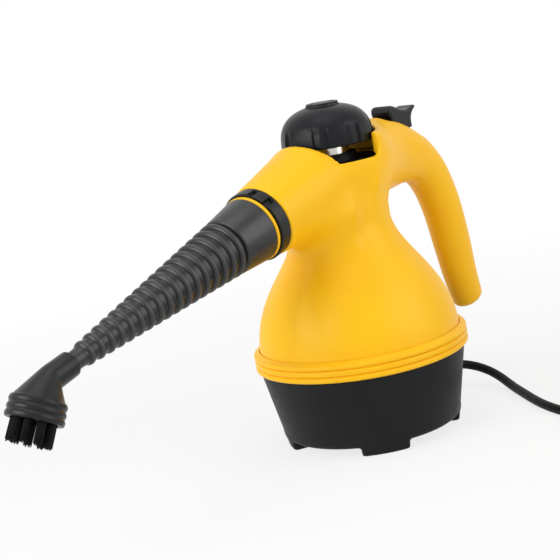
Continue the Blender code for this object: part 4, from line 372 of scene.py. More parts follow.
def handle_near(x, y, z, inset):
    """An ellipse round the nearest place on the centre line. The place slides between samples."""
    line = HANDLE_LINES[inset]
    fx, fz = np.broadcast_arrays(x, z)
    near = ((fx[..., None] - line[0]) ** 2 + (fz[..., None] - line[1]) ** 2).argmin(-1)
    along = (fx - line[0][near]) * line[2][near] + (fz - line[1][near]) * line[3][near]
    spacing = math.hypot(line[0][1] - line[0][0], line[1][1] - line[1][0])
    sample = np.arange(HANDLE_SAMPLES)
    cx, cz, wx, wz, depth, width = (np.interp(near + along / spacing, sample, row) for row in line)
    off = (fz - cz) * wx - (fx - cx) * wz
    depth, width = np.maximum(depth, 0.1), np.maximum(width, 0.1)
    reach = np.sqrt((off / depth) ** 2 + (y / width) ** 2)
    past = np.where((near == HANDLE_SAMPLES - 1) | (near == 0), np.abs(along), -1.0)
    past = np.where((near == 0) & (along > 0) | (near == HANDLE_SAMPLES - 1) & (along < 0), -1.0, past)
    return np.maximum((reach - 1) * np.minimum(depth, width), past)


def handle_field(x, y, z, inset):
    """The handle's field, worked out only where it can matter."""
    if np.ndim(x) == 1:
        field = np.full(len(x), 40.0)
        pick = x > -13
        field[pick] = handle_near(x[pick], y[pick], z[pick], inset)
        return field
    if x.max() <= -13:
        return np.full(np.broadcast(x, y, z).shape, 40.0)
    return handle_near(x, y, z, inset)


def housing_skin(x, y, z, inset):
    """Bell under its flat hood and the spout, whose meeting is rounder below than above, with the handle blended in."""
    bell = upper(bell_field(x, y, z, inset), z - HOOD_Z + inset, BLEND_HOOD)
    width = BLEND_BODY + (BLEND_ARMPIT - BLEND_BODY) * smooth((180 - z) / 24)
    body = lower(bell, barrel_field(x, y, z, inset), 0.5 + width * smooth((-4 - x) / 20))
    return lower(body, handle_field(x, y, z, inset), BLEND_HANDLE)


def round_box(u, v, half_u, half_v, corner):
    """Distance to a rectangle with round corners."""
    a, b = np.abs(u) - half_u + corner, np.abs(v) - half_v + corner
    return np.hypot(np.maximum(a, 0), np.maximum(b, 0)) + np.minimum(np.maximum(a, b), 0) - corner


def housing_half(side, seam=True):
    """Skin less the hollow, the cap's well, all above the low lip that isn't barrel, the trigger's slot, the neck's
    hole, the collar's bore, the screws' counterbores and the other side of the seam."""
    def field(x, y, z):
        from_axis = np.hypot(x, y)
        along, above = down_the_spout(x, z)
        off = np.hypot(y, above)
        f = housing_skin(x, y, z, 0.0)
        well = CUP_R - LIP_BACK_STEP * smooth((x - LIP_BACK_X + 1) / 2.5) * smooth((z - CUP_FLOOR_Z - 7) / 2)
        f = upper(f, -np.maximum(from_axis - well, CUP_FLOOR_Z - z), 1.2)
        a, b = x - LIP_BACK_X + LIP_CORNER, LIP_Z + LIP_CORNER - z
        lip = np.hypot(np.maximum(a, 0), np.maximum(b, 0)) + np.minimum(np.maximum(a, b), 0) - LIP_CORNER
        barrel = off - 0.4 - np.clip(BARREL_FACE_R + BARREL_FLARE * along, 0, BARREL_R)
        lip = np.maximum(lip, -barrel)
        f = upper(f, -lip, 1.0)
        middle, half = (SLOT_FRONT_X + SLOT_BACK_X) / 2, (SLOT_BACK_X - SLOT_FRONT_X) / 2
        slot = round_box(x - middle, y, half, SLOT_W / 2, SLOT_W / 4)
        f = upper(f, -np.maximum(slot, SLOT_LOW_Z - z), 1.4)
        hollow = housing_skin(x, y, z, WALL)
        hollow = np.maximum(hollow, -np.maximum(from_axis - CUP_R - WALL, CUP_FLOOR_Z - WALL - z))
        hollow = np.maximum(hollow, WALL - lip)
        skin = f
        for k, (bx, bz) in enumerate(BOSSES):
            from_screw = np.hypot(x - bx, z - bz)
            hollow = np.maximum(hollow, BOSS_R - from_screw)
            if side > 0:
                bore = np.maximum(from_screw - COUNTERBORE_R, COUNTERBORE_Y - y)
                f = upper(f, -(np.maximum(bore, skin + WALL) if k == COVERED_BOSS else bore), 0.7)
        f = upper(f, -hollow, 0.5)
        f = upper(f, -np.maximum(from_axis - NECK_HOLE_R, CUP_FLOOR_Z - WALL - 6 - z), 0.6)
        f = upper(f, -np.maximum(off - COLLAR_SPIGOT_R - GAP, along - 13.3), 0.8)
        f = upper(f, -np.maximum(z - RIM_TOP_Z - GAP, x - HANDLE_CLEAR_X), 0.4)
        return np.maximum(f, 0.01 - side * y) if seam else f
    return field


def make_housing(finish):
    near = np.array((-0.04, 0.04, 0.15, 0.45, 1.0, 1.7, 2.5, 3.4))
    for name, stands_for, side in (("left_half", "housing_left", 1), ("right_half", "housing_right", -1)):
        ys = np.concatenate([near, steps_from(4.3, 73, 1.1)])
        ys = ys if side > 0 else -ys[::-1]
        xs = np.concatenate([steps_from(-86, -67, 0.8), steps_from(-65.8, 145.5, 1.15)])
        shape = skin_of(housing_half(side), xs, ys, steps_from(49.2, 212.5, 1.1), housing_half(side, False))
        piece(name, [shape], finish, "steamer", stands_for)


def base_field(x, y, z):
    """A cup that widens upward, with a round lower edge and four feet in line with its side, hollow round its screw
    posts, with a screw well up each post from below."""
    from_axis = np.hypot(x, y)
    slope = (BASE_TOP_R - BASE_LOW_R) / (BASE_TOP_Z - FOOT_H)
    side = (from_axis - BASE_LOW_R - slope * (z - FOOT_H)) / math.hypot(1, slope)
    rim = np.maximum(from_axis - SKIRT_R, z - RIM_TOP_Z)
    f = upper(side, FOOT_H - z, 3.6)
    f = np.minimum(upper(f, z - BASE_TOP_Z, 0.7), np.maximum(rim, 48 - z))
    hollow = np.maximum(side + WALL, FOOT_H + 3 - z)
    hollow = np.maximum(hollow, from_axis - SKIRT_R + WALL)
    for angle in FOOT_ANGLES:
        c, s = math.cos(angle), math.sin(angle)
        out = x * c + y * s
        round_it = np.abs(y * math.cos(angle + FOOT_SHIFT) - x * math.sin(angle + FOOT_SHIFT))
        pad = upper(upper(side + 0.1, round_it - out * FOOT_SPREAD, 2.5), FOOT_IN_X - out, 2.0)
        pad = upper(upper(pad, -z, 1.8), z - FOOT_H - 4.5, 0.5)
        f = lower(f, pad, 1.6)
        post = np.hypot(x - POST_AT_R * c, y - POST_AT_R * s)
        hollow = np.maximum(hollow, POST_R - post)
        f = upper(f, -np.maximum(post - WELL_R, z - WELL_TOP_Z), 0.6)
    f = upper(f, -hollow, 0.5)
    return upper(f, -np.maximum(np.hypot(y, z - CORD_Z) - 6.8, 50 - x), 0.5)


def make_base(finish):
    shape = skin_of(base_field, steps_from(-75, 75, 1.2), steps_from(-75, 75, 1.2), steps_from(-1.4, 62, 1.15))
    piece("cup_base", [shape], finish, "steamer", "base_shell")


def make_band(finish):
    """Three ribs, each the root of one less a power of the way from its middle. The top one steps down to the bell."""
    t = np.linspace(-0.985, 0.985, 15)
    middle, half = (BAND_EDGES[1:] + BAND_EDGES[:-1]) / 2, np.diff(BAND_EDGES) / 2
    z = (middle[:, None] + half[:, None] * t).ravel()
    r = BAND_GROOVE_R + BAND_RIB_LIFT * np.tile((1 - np.abs(t) ** 2.6) ** 0.55, len(half))
    bore = SKIRT_R + 0.1
    inner = outline_of((71.4, BAND_EDGES[-1] + 0.7, 0), (bore, 69.6, 0.3), (bore, 57.5, 0.4),
                       (72.0, BAND_EDGES[0], 0.5), (r[0], z[0], 0))
    run = np.vstack([inner[:-1], np.column_stack([r, z])])
    turned("ribbed_band", run, 180, finish, "steamer", "band_ring", 40)


def cap_radius(share):
    """Dome radius at a share of its height: a superellipse."""
    return CAP_R * (1 - np.clip(share, 0, 1) ** 3.0) ** 0.435


def make_cap(finish):
    """A dome whose lower half has eight broad tongues. Between two lies a recess, deepest at its sharp edges, which
    runs out upwards."""
    share = (1 - (1 - np.linspace(0, 1, 40)) ** 1.6) * 0.968
    dome = np.column_stack([cap_radius(share), CAP_RIM_Z + CAP_DOME_H * share])
    inner = outline_of((0, CAP_UNDER_Z, 0), (15.0, CAP_UNDER_Z, 4), (27.0, 216.4, 5), (27.8, CAP_RIM_Z + 0.4, 0.8),
                       (CAP_R - 0.9, CAP_RIM_Z, 0.8), (CAP_R, CAP_RIM_Z + 0.9, 0))
    dome = dome[dome[:, 1] > CAP_RIM_Z + 1.0]
    top = outline_of((dome[-1, 0], dome[-1, 1], 0), (DISC_R + 0.5, dome[-1, 1] + 0.25, 0.5),
                     (DISC_R + 0.2, CAP_TOP_Z, 0.3), (0, CAP_TOP_Z, 0))

    def grooves(r, z, turn):
        place = np.abs(((turn - TONGUE_PHASE) * CAP_TONGUES / TAU + 0.5) % 1 - 0.5)
        from_edge = np.clip((place - TONGUE_SHARE / 2) / (0.5 - TONGUE_SHARE / 2), 0, 1)
        wall = smooth((place - TONGUE_SHARE / 2) / 0.03)
        run_out = smooth((CAP_RIM_Z + TONGUE_H - z) / 7)
        depth = TONGUE_DEPTH * wall * (1 - 0.6 * from_edge) * run_out
        flat = 0.4 * (1 - (np.minimum(place * 2 / TONGUE_SHARE, 1)) ** 2) * (1 - wall) * run_out
        return -(depth + flat) * (r > 28.6) * (z > CAP_RIM_Z - 0.01)

    run = np.vstack([inner, dome, top[1:]])
    turned("cap_dome", run, 480, finish, "cap_top", "cap_shell", 50, closed=False, shift=grooves)
    low, high, edge, ring = DISC_TOP_Z - 1.4, DISC_TOP_Z, DISC_R - 0.4, DISC_RING_R - DISC_RING_W
    run = outline_of((0, low, 0), (edge, low, 0.2), (edge, high, 0.8), (DISC_RING_R + 0.1, high, 0.2),
                     (DISC_RING_R - 0.1, high - 0.5, 0.2), (ring, high - 0.5, 0.2), (ring - 0.2, high, 0.2),
                     (0, high + 0.1, 0))
    turned("cap_button", run, 96, finish, "cap_top", "cap_disc", 50, closed=False)


def make_neck(metal, rubber):
    """Filler neck with a rolled lip, and the moulded ring on the well's floor, whose hub stands up round the neck."""
    run = outline_of((NECK_BORE_R, NECK_LOW_Z, 0), (NECK_TUBE_R, NECK_LOW_Z, 0.5), (NECK_TUBE_R, NECK_TOP_Z, 1.2),
                     (NECK_BORE_R, NECK_TOP_Z, 1.0), (NECK_BORE_R, NECK_LOW_Z + 40, 0), closed=True)
    turned("neck_pipe", run, 96, metal, "steamer", "filler_neck", 45)
    low, high, rim, bore = CUP_FLOOR_Z + GAP, CUP_FLOOR_Z + GAP + WELL_RING_H, CUP_R - GAP, 14.0
    run = outline_of((bore, low, 0.2), (rim, low, 0.3), (rim, high, 0.8), (18.6, high, 0.8), (17.6, HUB_TOP_Z, 0.8),
                     (16.6, HUB_TOP_Z, 0.8), (bore, HUB_TOP_Z, 0.4), closed=True)
    turned("well_floor_ring", run, 120, rubber, "steamer", "well_ring", 45)


def outline_distance(u, v, points):
    """Distance to a closed outline's nearest stretch, negative where a level line from the point crosses it an odd
    number of times."""
    a, b = points, np.roll(points, -1, 0)
    du, dv = (b - a).T
    u, v = u[..., None], v[..., None]
    t = np.clip(((u - a[:, 0]) * du + (v - a[:, 1]) * dv) / (du ** 2 + dv ** 2), 0, 1)
    gap = np.hypot(u - a[:, 0] - t * du, v - a[:, 1] - t * dv).min(-1)
    steep = np.where(np.abs(dv) < 1e-9, 1e-9, dv)
    crossed = ((a[:, 1] <= v) != (b[:, 1] <= v)) & (u < a[:, 0] + (v - a[:, 1]) * du / steep)
    return np.where(crossed.sum(-1) % 2 == 1, -gap, gap)


LEVER_LOW_W, LEVER_TOP_W = 5.9, 8.7
TRIGGER_SIDE = np.array((
    (-27.6, 26.6), (-26.8, 29.6), (-23.6, 31.0), (-18.5, 29.6), (-13.0, 27.2), (-7.5, 25.9), (-2.5, 25.8),
    (2.0, 26.9), (4.6, 27.2), (4.0, 25.2), (0.6, 22.6), (-1.6, 19.0), (-1.9, 14.0), (-0.4, 9.0), (2.6, 3.4),
    (3.6, -2.9), (0.0, -4.6), (-3.4, -3.1), (-8.0, 0.6), (-12.0, 3.4), (-17.5, 8.8), (-21.0, 9.0), (-24.0, 10.0),
    (-25.0, 15.0), (-25.6, 21.0), (-27.0, 24.0)))


def make_trigger(finish, metal):
    """A side outline drawn to the lever's width, wide above and narrow below, its edges rounded."""
    loop = curve_through(np.vstack([TRIGGER_SIDE, TRIGGER_SIDE[:1]]), 3)[:-1]

    def field(x, y, z):
        half = LEVER_LOW_W + (LEVER_TOP_W - LEVER_LOW_W) * smooth((z - 11.5) / 1.6)
        f = upper(outline_distance(x, z, loop), np.abs(y) - half, 3.2)
        return upper(f, 2.4 - np.hypot(x, z), 0.4)

    shape = skin_of(field, steps_from(-36, 16, 0.7), steps_from(-9.8, 9.8, 0.7), steps_from(-6, 33, 0.7))
    piece("thumb_lever", [placed(shape, PIVOT)], finish, "trigger_lever", "trigger")
    run = outline_of((0, -9, 0), (2, -9, 0.4), (2, 9, 0.4), (0, 9, 0))
    turned("lever_pin", run, 32, metal, "steamer", "trigger_pin", 32, (PIVOT[0], SIDEWAYS), closed=False)


def make_collar(finish):
    """A stepped ring. Nothing in a notch reaches past the notch's floor."""
    long = COLLAR_LENGTH
    run = outline_of((4.9, -13, 0.3), (COLLAR_SPIGOT_R, -13, 0.6), (COLLAR_SPIGOT_R, GAP, 0.3), (COLLAR_R, GAP, 0.6),
                     (COLLAR_R, 1.6, 0), (COLLAR_R, 2.3, 0), (COLLAR_R, long - 1.6, 0), (COLLAR_R, long, 0.9),
                     (COLLAR_BORE_R, long, 0.8), (COLLAR_BORE_R, -10.5, 0.8), (4.9, -10.5, 0.3), steps=6, closed=True)

    def notches(r, z, turn):
        near = np.min([np.abs((turn - a + math.pi) % TAU - math.pi) for a in -NOTCH_ANGLES], axis=0) * COLLAR_R
        depth = NOTCH_DEPTH * smooth(np.clip((2.3 - near) / 0.45, 0, 1) * np.clip((z - 1.6) / 0.7, 0, 1))
        return -np.maximum(r - (COLLAR_R - depth), 0)

    turned("notched_collar", run, 480, finish, "steamer", "bayonet_collar", 40, NOZZLE, shift=notches)


def make_nozzle(ribbed, yellow, seal, brass):
    """Sleeve, ribs and tip in one outline. A rib is a round cord, one less a power of the way from its middle raised
    to about a half, between flat grooves that grow shallower down the cone."""
    pitch = (RIB_LAST - RIB_FIRST) / (RIBS - 1)
    t = np.concatenate([[-0.97], np.linspace(-0.54, 0.54, 15), [0.97]])
    share = np.arange(RIBS)[:, None] / (RIBS - 1)
    crest = RIB_FIRST_R + (RIB_LAST_R - RIB_FIRST_R) * (share + t / 2 / (RIBS - 1))
    depth = RIB_DEPTH * (1 - 0.35 * share)
    cord = np.clip(1 - np.abs(t / 0.54) ** 2.0, 0, 1) ** 0.6
    ribs = np.column_stack([(crest - depth + depth * cord).ravel(),
                            (RIB_FIRST + pitch * (np.arange(RIBS)[:, None] + t / 2)).ravel()])
    spigot = COLLAR_BORE_R - 0.7
    root = outline_of((15.3, 40, 0), (15.3, 1.5, 0.5), (spigot, 1.5, 0.6), (spigot, RING_TO + GAP, 0.2),
                      (SLEEVE_R, RING_TO + GAP, 0.7), (SLEEVE_END_R, SLEEVE_END - 0.5, 1.2),
                      (17.4, SLEEVE_END + 0.1, 0))
    tip = outline_of((ribs[-1, 0], ribs[-1, 1], 0), (TIP_R + 0.6, RIB_LAST + pitch * 0.62, 0.8), (TIP_R, TIP_END, 0.6),
                     (TIP_BORE_R, TIP_END, 0.3), (TIP_BORE_R, RIB_LAST, 2), (4.6, RIB_LAST - pitch, 2), (15.3, 40, 0))
    run, steps = np.vstack([root, ribs, tip[1:-1]]), 128
    cone = turned("ribbed_cone", run, steps, ribbed, "nozzle", "nozzle_cone", 40, NOZZLE)
    # Painted highlight on the ribbed cone: each rib crest gets the lighter tone, fading to none in its grooves. The
    # sleeve gets half of it and the tip less.
    painted_highlight = np.concatenate([0.5 + 0 * root[:, 0], np.tile(cord ** 2, RIBS), 0.3 + 0 * tip[1:-1, 0]])
    cone.data.attributes.new("painted_highlight", "FLOAT", "POINT").data.foreach_set("value", np.repeat(painted_highlight, steps))
    run = outline_of((spigot + GAP, RING_FROM, 0.2), (RING_R, RING_FROM, 0.7), (RING_R, RING_TO, 0.7),
                     (spigot + GAP, RING_TO, 0.2), closed=True)
    turned("yellow_ring", run, 128, yellow, "nozzle_ring", "marker_ring", 45, NOZZLE)
    angle = np.linspace(0, TAU, 16, endpoint=False)
    run = np.column_stack([19.0 + 0.9 * np.cos(angle), 5 + 0.9 * np.sin(angle)])
    turned("root_seal", run, 96, seal, "nozzle", "nozzle_seal", 60, NOZZLE)
    run = outline_of((2.4, -31, 0.2), (4.6, -31, 0.3), (4.6, 24, 0.7), (2.4, 24, 0.4), closed=True)
    turned("steam_tube", run, 48, brass, "steamer", "spout_tube", 45, NOZZLE)


def rings(frame_axes, radii, along, steps=96):
    """Circles of these radii at these places along a frame's Z, in the body's frame."""
    turn = np.linspace(0, TAU, steps, endpoint=False)
    circle = np.stack([np.cos(turn), np.sin(turn), 0 * turn], 1)
    points = np.asarray(radii, float)[:, None, None] * circle + np.asarray(along, float)[:, None, None] * (0, 0, 1)
    return frame_axes[0] + points @ frame_axes[1]


def make_brush(black, nylon):
    """Rings along the socket, then rings of the bell in the bent frame. The straight stretch between the two sets is
    the shoulder. Each ridge of the bell is half a cosine wave."""
    socket_r = [0, 5.7, 5.7, BRUSH_SOCKET_R, BRUSH_SOCKET_R + 0.2]
    socket_z = [196.5, 196.5, BRUSH_SOCKET_FROM, BRUSH_SOCKET_FROM, BRUSH_SOCKET_TO]
    t = np.linspace(-0.96, 0.96, 9)
    middle = (np.arange(3)[:, None] + 0.5) / 3
    ridge = (middle + t / 6).ravel()
    ridge_r = BRUSH_BELL_R - 0.7 + 0.7 * ridge + np.tile(0.75 * np.cos(t * math.pi / 2), 3)
    ridge_z = BELL_TOP + (BELL_RIM - BELL_TOP) * ridge
    floor = BELL_RIM - BELL_RECESS_H
    bell_r = np.concatenate([[15.0], ridge_r, [BELL_RECESS_R, BELL_RECESS_R, TIP_BORE_R, TIP_BORE_R, 0]])
    bell_z = np.concatenate([[BELL_TOP - 0.3], ridge_z, [BELL_RIM, floor, floor, 9, 9]])
    net = np.concatenate([rings(NOZZLE, socket_r, socket_z), rings(BRUSH, bell_r, bell_z)])
    setbacks = np.concatenate([[0, 0.3, 0.3, 1.6, 1.5], [1.6], 0.15 + 0 * ridge_r, [0.5, 0.5, 0.3, 0.2, 0]])
    piece("bent_brush", [loft(rounded(net, setbacks, 4))], black, "brush", "brush_head", crease=50)

    top = floor + GAP
    backing = outline_of((3.1, top, 0.2), (BELL_RECESS_R - GAP, top, 0.3), (BELL_RECESS_R - GAP, top + 3.4, 0.5),
                         (3.1, top + 3.4, 0.3), closed=True)
    shapes = [placed(revolved(backing, 64, closed=True), BRUSH)]
    strands = 70
    k = np.arange(strands)
    golden = math.pi * (3 - math.sqrt(5))
    off = TUFT_R * np.sqrt((k + 0.5) / strands)[:, None] * np.stack([np.cos(k * golden), np.sin(k * golden)], 1)
    around = TAU * (np.arange(TUFTS) + 0.15) / TUFTS
    out = np.stack([np.cos(around), np.sin(around)], 1)
    grid_t, grid_k = np.meshgrid(np.arange(TUFTS), k, indexing="ij")
    length = BRISTLE_LENGTH - 0.9 + 1.3 * np.sin(7 * grid_k + 3 * grid_t) * np.cos(2.3 * grid_k + grid_t)
    rise = np.linspace(0, 1, 6)
    ring = np.linspace(0, TAU, 5, endpoint=False)
    thick = 0.30 * (1 - 0.45 * rise ** 2)
    lean = 0.02 * rise
    base = TUFT_RING_R * out[:, None] + off[None]
    xy = (base[:, :, None] + out[:, None, None] * (lean * BRISTLE_LENGTH)[None, None, :, None]
          + off[None, :, None] * (0.04 * rise)[None, None, :, None])
    z = top + 2.0 + (length[..., None] + 1.4) * rise
    centre = np.concatenate([xy, z[..., None]], -1)
    tube = centre[..., None, :] + thick[:, None, None] * np.stack([np.cos(ring), np.sin(ring), 0 * ring], -1)
    tip = np.repeat(centre[:, :, -1:, None] + (0, 0, 0.15), 5, axis=3)
    foot = np.repeat(centre[:, :, :1, None], 5, axis=3)
    tube = np.concatenate([foot, tube, tip], 2).reshape(-1, 8, 5, 3)
    one = loft(tube[0])
    shift = (np.arange(len(tube)) * 40)[:, None, None]
    hairs = (tube.reshape(-1, 3), (one[1][None] + shift).reshape(-1, 4), (one[2][None] + shift).reshape(-1, 3))
    shapes.append(placed(hairs, BRUSH))
    piece("bristle_tufts", shapes, nylon, "brush", "bristles", crease=50)


def cord_path():
    """The route on the floor, then a coil: its radius falls and rises by a pitch a turn, and it climbs a pitch round
    each turning back. At the end a run down to the plug."""
    lead = curve_through(CORD_ROUTE, 6)
    start = lead[-1]
    outer = COIL_R + COIL_PITCH * COIL_TURNS / 2
    x, y = start[0] + outer, start[1] - COIL_START - GAP
    total = COIL_TURNS * COIL_LAYERS
    turn = np.linspace(0, total, round(total * 96) + 1)
    angle = math.pi + turn * TAU
    layer = turn / COIL_TURNS
    radius = outer - COIL_PITCH * COIL_TURNS * (1 - np.abs(1 - layer % 2))
    climb = smooth((turn[:, None] - np.arange(1, COIL_LAYERS) * COIL_TURNS) / 0.5 + 0.5)
    z = COIL_LIFT + CORD_R + COIL_PITCH * climb.sum(1)
    coil = np.stack([x + radius * np.cos(angle), y + radius * np.sin(angle), z], 1)
    end = coil[-1]
    plug_z, plug_x = PLUG_R + GAP, end[0] - PLUG_ASIDE
    run = curve_through([coil[-9], end, (end[0] - PLUG_ASIDE / 3, end[1] - PLUG_AWAY / 3, (end[2] * 3 + plug_z) / 4),
                         (plug_x, end[1] - PLUG_AWAY * 0.75, plug_z), (plug_x, end[1] - PLUG_AWAY, plug_z)], 10)
    return np.vstack([lead, coil[1:], run[11:]]), (x, y)


def make_lead(rubber, brass):
    """A round lead swept along its path, with the ribbed strain relief, the plug, its pins and the coil's strap."""
    path, (coil_x, coil_y) = cord_path()
    path = np.vstack([path[:1] - (0.9, 0, 0), path])
    turn = np.linspace(0, TAU, 16, endpoint=False)
    lead = piece("mains_lead", [swept(path, CORD_R * np.cos(turn), CORD_R * np.sin(turn))], rubber, "steamer",
                 "cord_lead", "cord_coil", crease=60)
    end = path[-1]
    at_plug = (np.array((end[0], end[1] - GAP, end[2])), np.array(((1, 0, 0), (0, 0, 1), (0, -1, 0)), float))
    long = PLUG_LENGTH
    run = outline_of((0, 0.1, 0), (5.2, 0.1, 0.8), (5.6, 2.2, 0), (5.2, 2.6, 0.2), (5.2, 3.6, 0.2), (5.8, 4.0, 0.2),
                     (5.8, 5.6, 0.2), (5.4, 6.0, 0.2), (5.4, 7.0, 0.2), (6.0, 7.4, 0.2), (6.3, 10.8, 2),
                     (14.4, 17.3, 6), (PLUG_R, 21.6, 4), (PLUG_R, 33.0, 0), (PLUG_R, long, 1.2),
                     (PLUG_R - 3, long, 0.5), (0, long, 0))

    def grip(r, z, turn):
        waves = (0.5 - 0.5 * np.cos(turn * 24)) * np.clip((z - 20) / 3, 0, 1) * np.clip((33 - z) / 2, 0, 1)
        return -0.55 * waves * (r > 13)

    plug = turned("moulded_plug", run, 240, rubber, "steamer", "plug", 50, at_plug, closed=False, shift=grip)
    run = outline_of((0, long + GAP, 0), (2.4, long + GAP, 0.2), (2.4, long + 19, 1.6), (0, long + 19, 0))
    for k, side in ((1, -1), (2, 1)):
        at_pin = (at_plug[0] + (side * PIN_SPACING / 2, 0, 0), at_plug[1])
        turned(f"plug_prong_{k}", run, 32, brass, "steamer", f"plug_pin_{k}", 50, at_pin, closed=False)
    wide, high = COIL_PITCH * COIL_TURNS + 2 * CORD_R + 0.6, COIL_PITCH * (COIL_LAYERS - 1) + 2 * CORD_R + 0.6
    quarter = np.linspace(0, math.pi / 2, 7)
    corner = 3.55
    loop = np.concatenate([np.stack([sx * (wide / 2 + 0.55 - corner) + corner * np.cos(quarter + k * math.pi / 2),
                                     sz * (high / 2 + 0.55 - corner) + corner * np.sin(quarter + k * math.pi / 2)], 1)
                           for k, (sx, sz) in enumerate(((1, 1), (-1, 1), (-1, -1), (1, -1)))])
    way = np.roll(loop, -1, 0) - np.roll(loop, 1, 0)
    way /= np.linalg.norm(way, axis=1, keepdims=True)
    out = np.stack([way[:, 1], -way[:, 0]], 1)
    strap = [(0, 0.5), (-4.5, 0.5), (-4.5, -0.5), (4.5, -0.5), (4.5, 0.5), (0, 0.5)]
    strap = rounded(strap, [0, 0.4, 0.4, 0.4, 0.4, 0], 3)[:-1]
    grid = np.stack([loop[:, None, 0] + out[:, None, 0] * strap[:, 1], strap[None, :, 0] + 0 * loop[:, :1],
                     loop[:, None, 1] + out[:, None, 1] * strap[:, 1]], -1)
    grid += (COIL_R, 0, 0)
    c, s = math.cos(math.radians(60)), math.sin(math.radians(60))
    spin = np.array(((c, s, 0), (-s, c, 0), (0, 0, 1)))
    shape = placed(loft(grid, round_rows=True), (np.array((coil_x, coil_y, COIL_LIFT - GAP + high / 2)), spin))
    tie = piece("lead_strap", [shape], rubber, "steamer", "cord_tie", crease=50)

    profile = [(3.5, -6.2, 0.1), (8.2, -6.2, 0.4), (8.2, -3.9, 0.4), (6.5, -3.9, 0.2), (6.5, 3.6, 0.5)]
    for z in np.arange(5.0, 19.0, 2.4):
        wide_here = np.interp(z, (2.5, RELIEF_LENGTH), (6.5, 4.2))
        profile += [(wide_here - 0.9, z - 0.7, 0.3), (wide_here - 0.9, z + 0.3, 0.3), (wide_here, z + 0.8, 0.3),
                    (wide_here - 0.08, z + 1.4, 0.3)]
    profile += [(4.3, RELIEF_LENGTH - 0.4, 0.4), (4.0, RELIEF_LENGTH, 0.2), (3.5, RELIEF_LENGTH, 0.2)]
    turned("lead_relief", outline_of(*profile, steps=3, closed=True), 64, rubber, "steamer", "strain_relief", 45,
           (np.array((RELIEF_FROM, 0, CORD_Z)), ENDWAYS))
    metres = (path + (AXIS_X, 0, 0)) * MM
    [tuple(p) for p in metres]


def screw_shape(head_r, head_h, shank_r, shank):
    """A round-topped head with a cross slot, on a plain shank. The slot lowers the top where either arm passes."""
    r = np.concatenate([np.linspace(0, 2.1, 22), np.linspace(2.25, head_r, 5)])
    turn = np.linspace(0, TAU, 64, endpoint=False)
    top = head_h - 0.5 * (r / head_r) ** 3
    u, v = np.abs(r[:, None] * np.cos(turn)), np.abs(r[:, None] * np.sin(turn))
    arm = np.minimum(np.maximum(u - 0.36, v - 1.55), np.maximum(v - 0.36, u - 1.55))
    z = top[:, None] - 1.0 * np.clip(0.5 - arm / 0.25, 0, 1)
    head = np.stack([r[:, None] * np.cos(turn), r[:, None] * np.sin(turn), z], -1)[::-1]
    head[-1] = head[-1].mean(0)
    low = outline_of((0, -shank, 0), (shank_r, -shank, 0.3), (shank_r, 0, 0.2), (head_r, 0, 0.2),
                     (head_r, head_h - 0.6, 0))
    low = np.stack([low[:, :1] * np.cos(turn), low[:, :1] * np.sin(turn), low[:, 1:] + 0 * turn], -1)
    return loft(np.concatenate([low, head]))


def make_screws(metal):
    """Housing screws point to -Y from the left half, base screws point up from the wells in the base."""
    shape = screw_shape(2.8, 2.0, 1.4, 16.0)
    for k, (x, z) in enumerate(BOSSES, 1):
        at = (np.array((x, COUNTERBORE_Y + GAP, z)), SIDEWAYS)
        piece(f"case_screw_{k}", [placed(shape, at)], metal, "steamer", f"housing_screw_{k}", crease=40)
    down = np.array(((1, 0, 0), (0, -1, 0), (0, 0, -1)), float)
    for k, angle in enumerate(FOOT_ANGLES, 1):
        at = (np.array((POST_AT_R * math.cos(angle), POST_AT_R * math.sin(angle), WELL_TOP_Z - GAP)), down)
        piece(f"foot_screw_{k}", [placed(shape, at)], metal, "steamer", f"base_screw_{k}", crease=40)


def make_plug_parts(nylon, rubber, brass):
    """What shows under the lifted cap: threaded plug with its flange and dogs, gasket and relief valve."""
    thread = np.linspace(0, 1, 90)
    z = NECK_TOP_Z - 14 + 12.5 * thread
    r = 9.7 + 0.4 * np.cos(thread * TAU * 5)
    low, high = NECK_TOP_Z + 2.6, NECK_TOP_Z + 5.6
    outer = outline_of((r[-1], z[-1], 0), (9.8, low, 0.3), (17.0, low, 0.5), (17.0, high, 0.6), (12.0, high, 0.3),
                       (12.0, high + 5, 0.6), (4.4, high + 5, 0.3), (4.0, 225.9, 0.4), (0, 225.9, 0))
    inner = outline_of((0, NECK_TOP_Z, 0), (5.9, NECK_TOP_Z, 0.3), (5.9, NECK_TOP_Z - 14, 0.4), (r[0], z[0], 0))
    run = np.vstack([inner, np.column_stack([r, z])[1:], outer[1:]])

    def dogs(r, z, turn):
        gap = np.clip((0.35 - np.abs((turn * 6 / TAU + 0.5) % 1 - 0.5)) / 0.04, 0, 1)
        return -2.0 * gap * (r > 9) * (z > high + 2.6)

    turned("cap_thread", run, 144, nylon, "cap_core", "cap_plug", 45, closed=False, shift=dogs)
    run = outline_of((9.9, NECK_TOP_Z + GAP, 0.5), (13.2, NECK_TOP_Z + GAP, 0.6), (13.2, NECK_TOP_Z + 2.3, 0.6),
                     (9.9, NECK_TOP_Z + 2.3, 0.5), closed=True)
    turned("cap_seal_ring", run, 96, rubber, "cap_seal", "cap_gasket", 50)
    top = NECK_TOP_Z - GAP
    run = outline_of((0, top - 12, 0), (3.3, top - 12, 0.6), (5.6, top - 9.6, 0.6), (5.6, top, 0.5), (0, top, 0))
    turned("pressure_valve", run, 72, brass, "cap_relief", "relief_valve", 35, closed=False)


# Finishes

def linear(colour):
    """sRGB 0 to 255 to the renderer's linear colour."""
    c = np.array(colour, float) / 255
    return (*np.where(c <= 0.04045, c / 12.92, ((c + 0.055) / 1.055) ** 2.4), 1.0)


def blank_tree(owner):
    """The emptied node tree of a material or of the world."""
    owner.use_nodes = True
    owner.node_tree.nodes.clear()
    return owner.node_tree


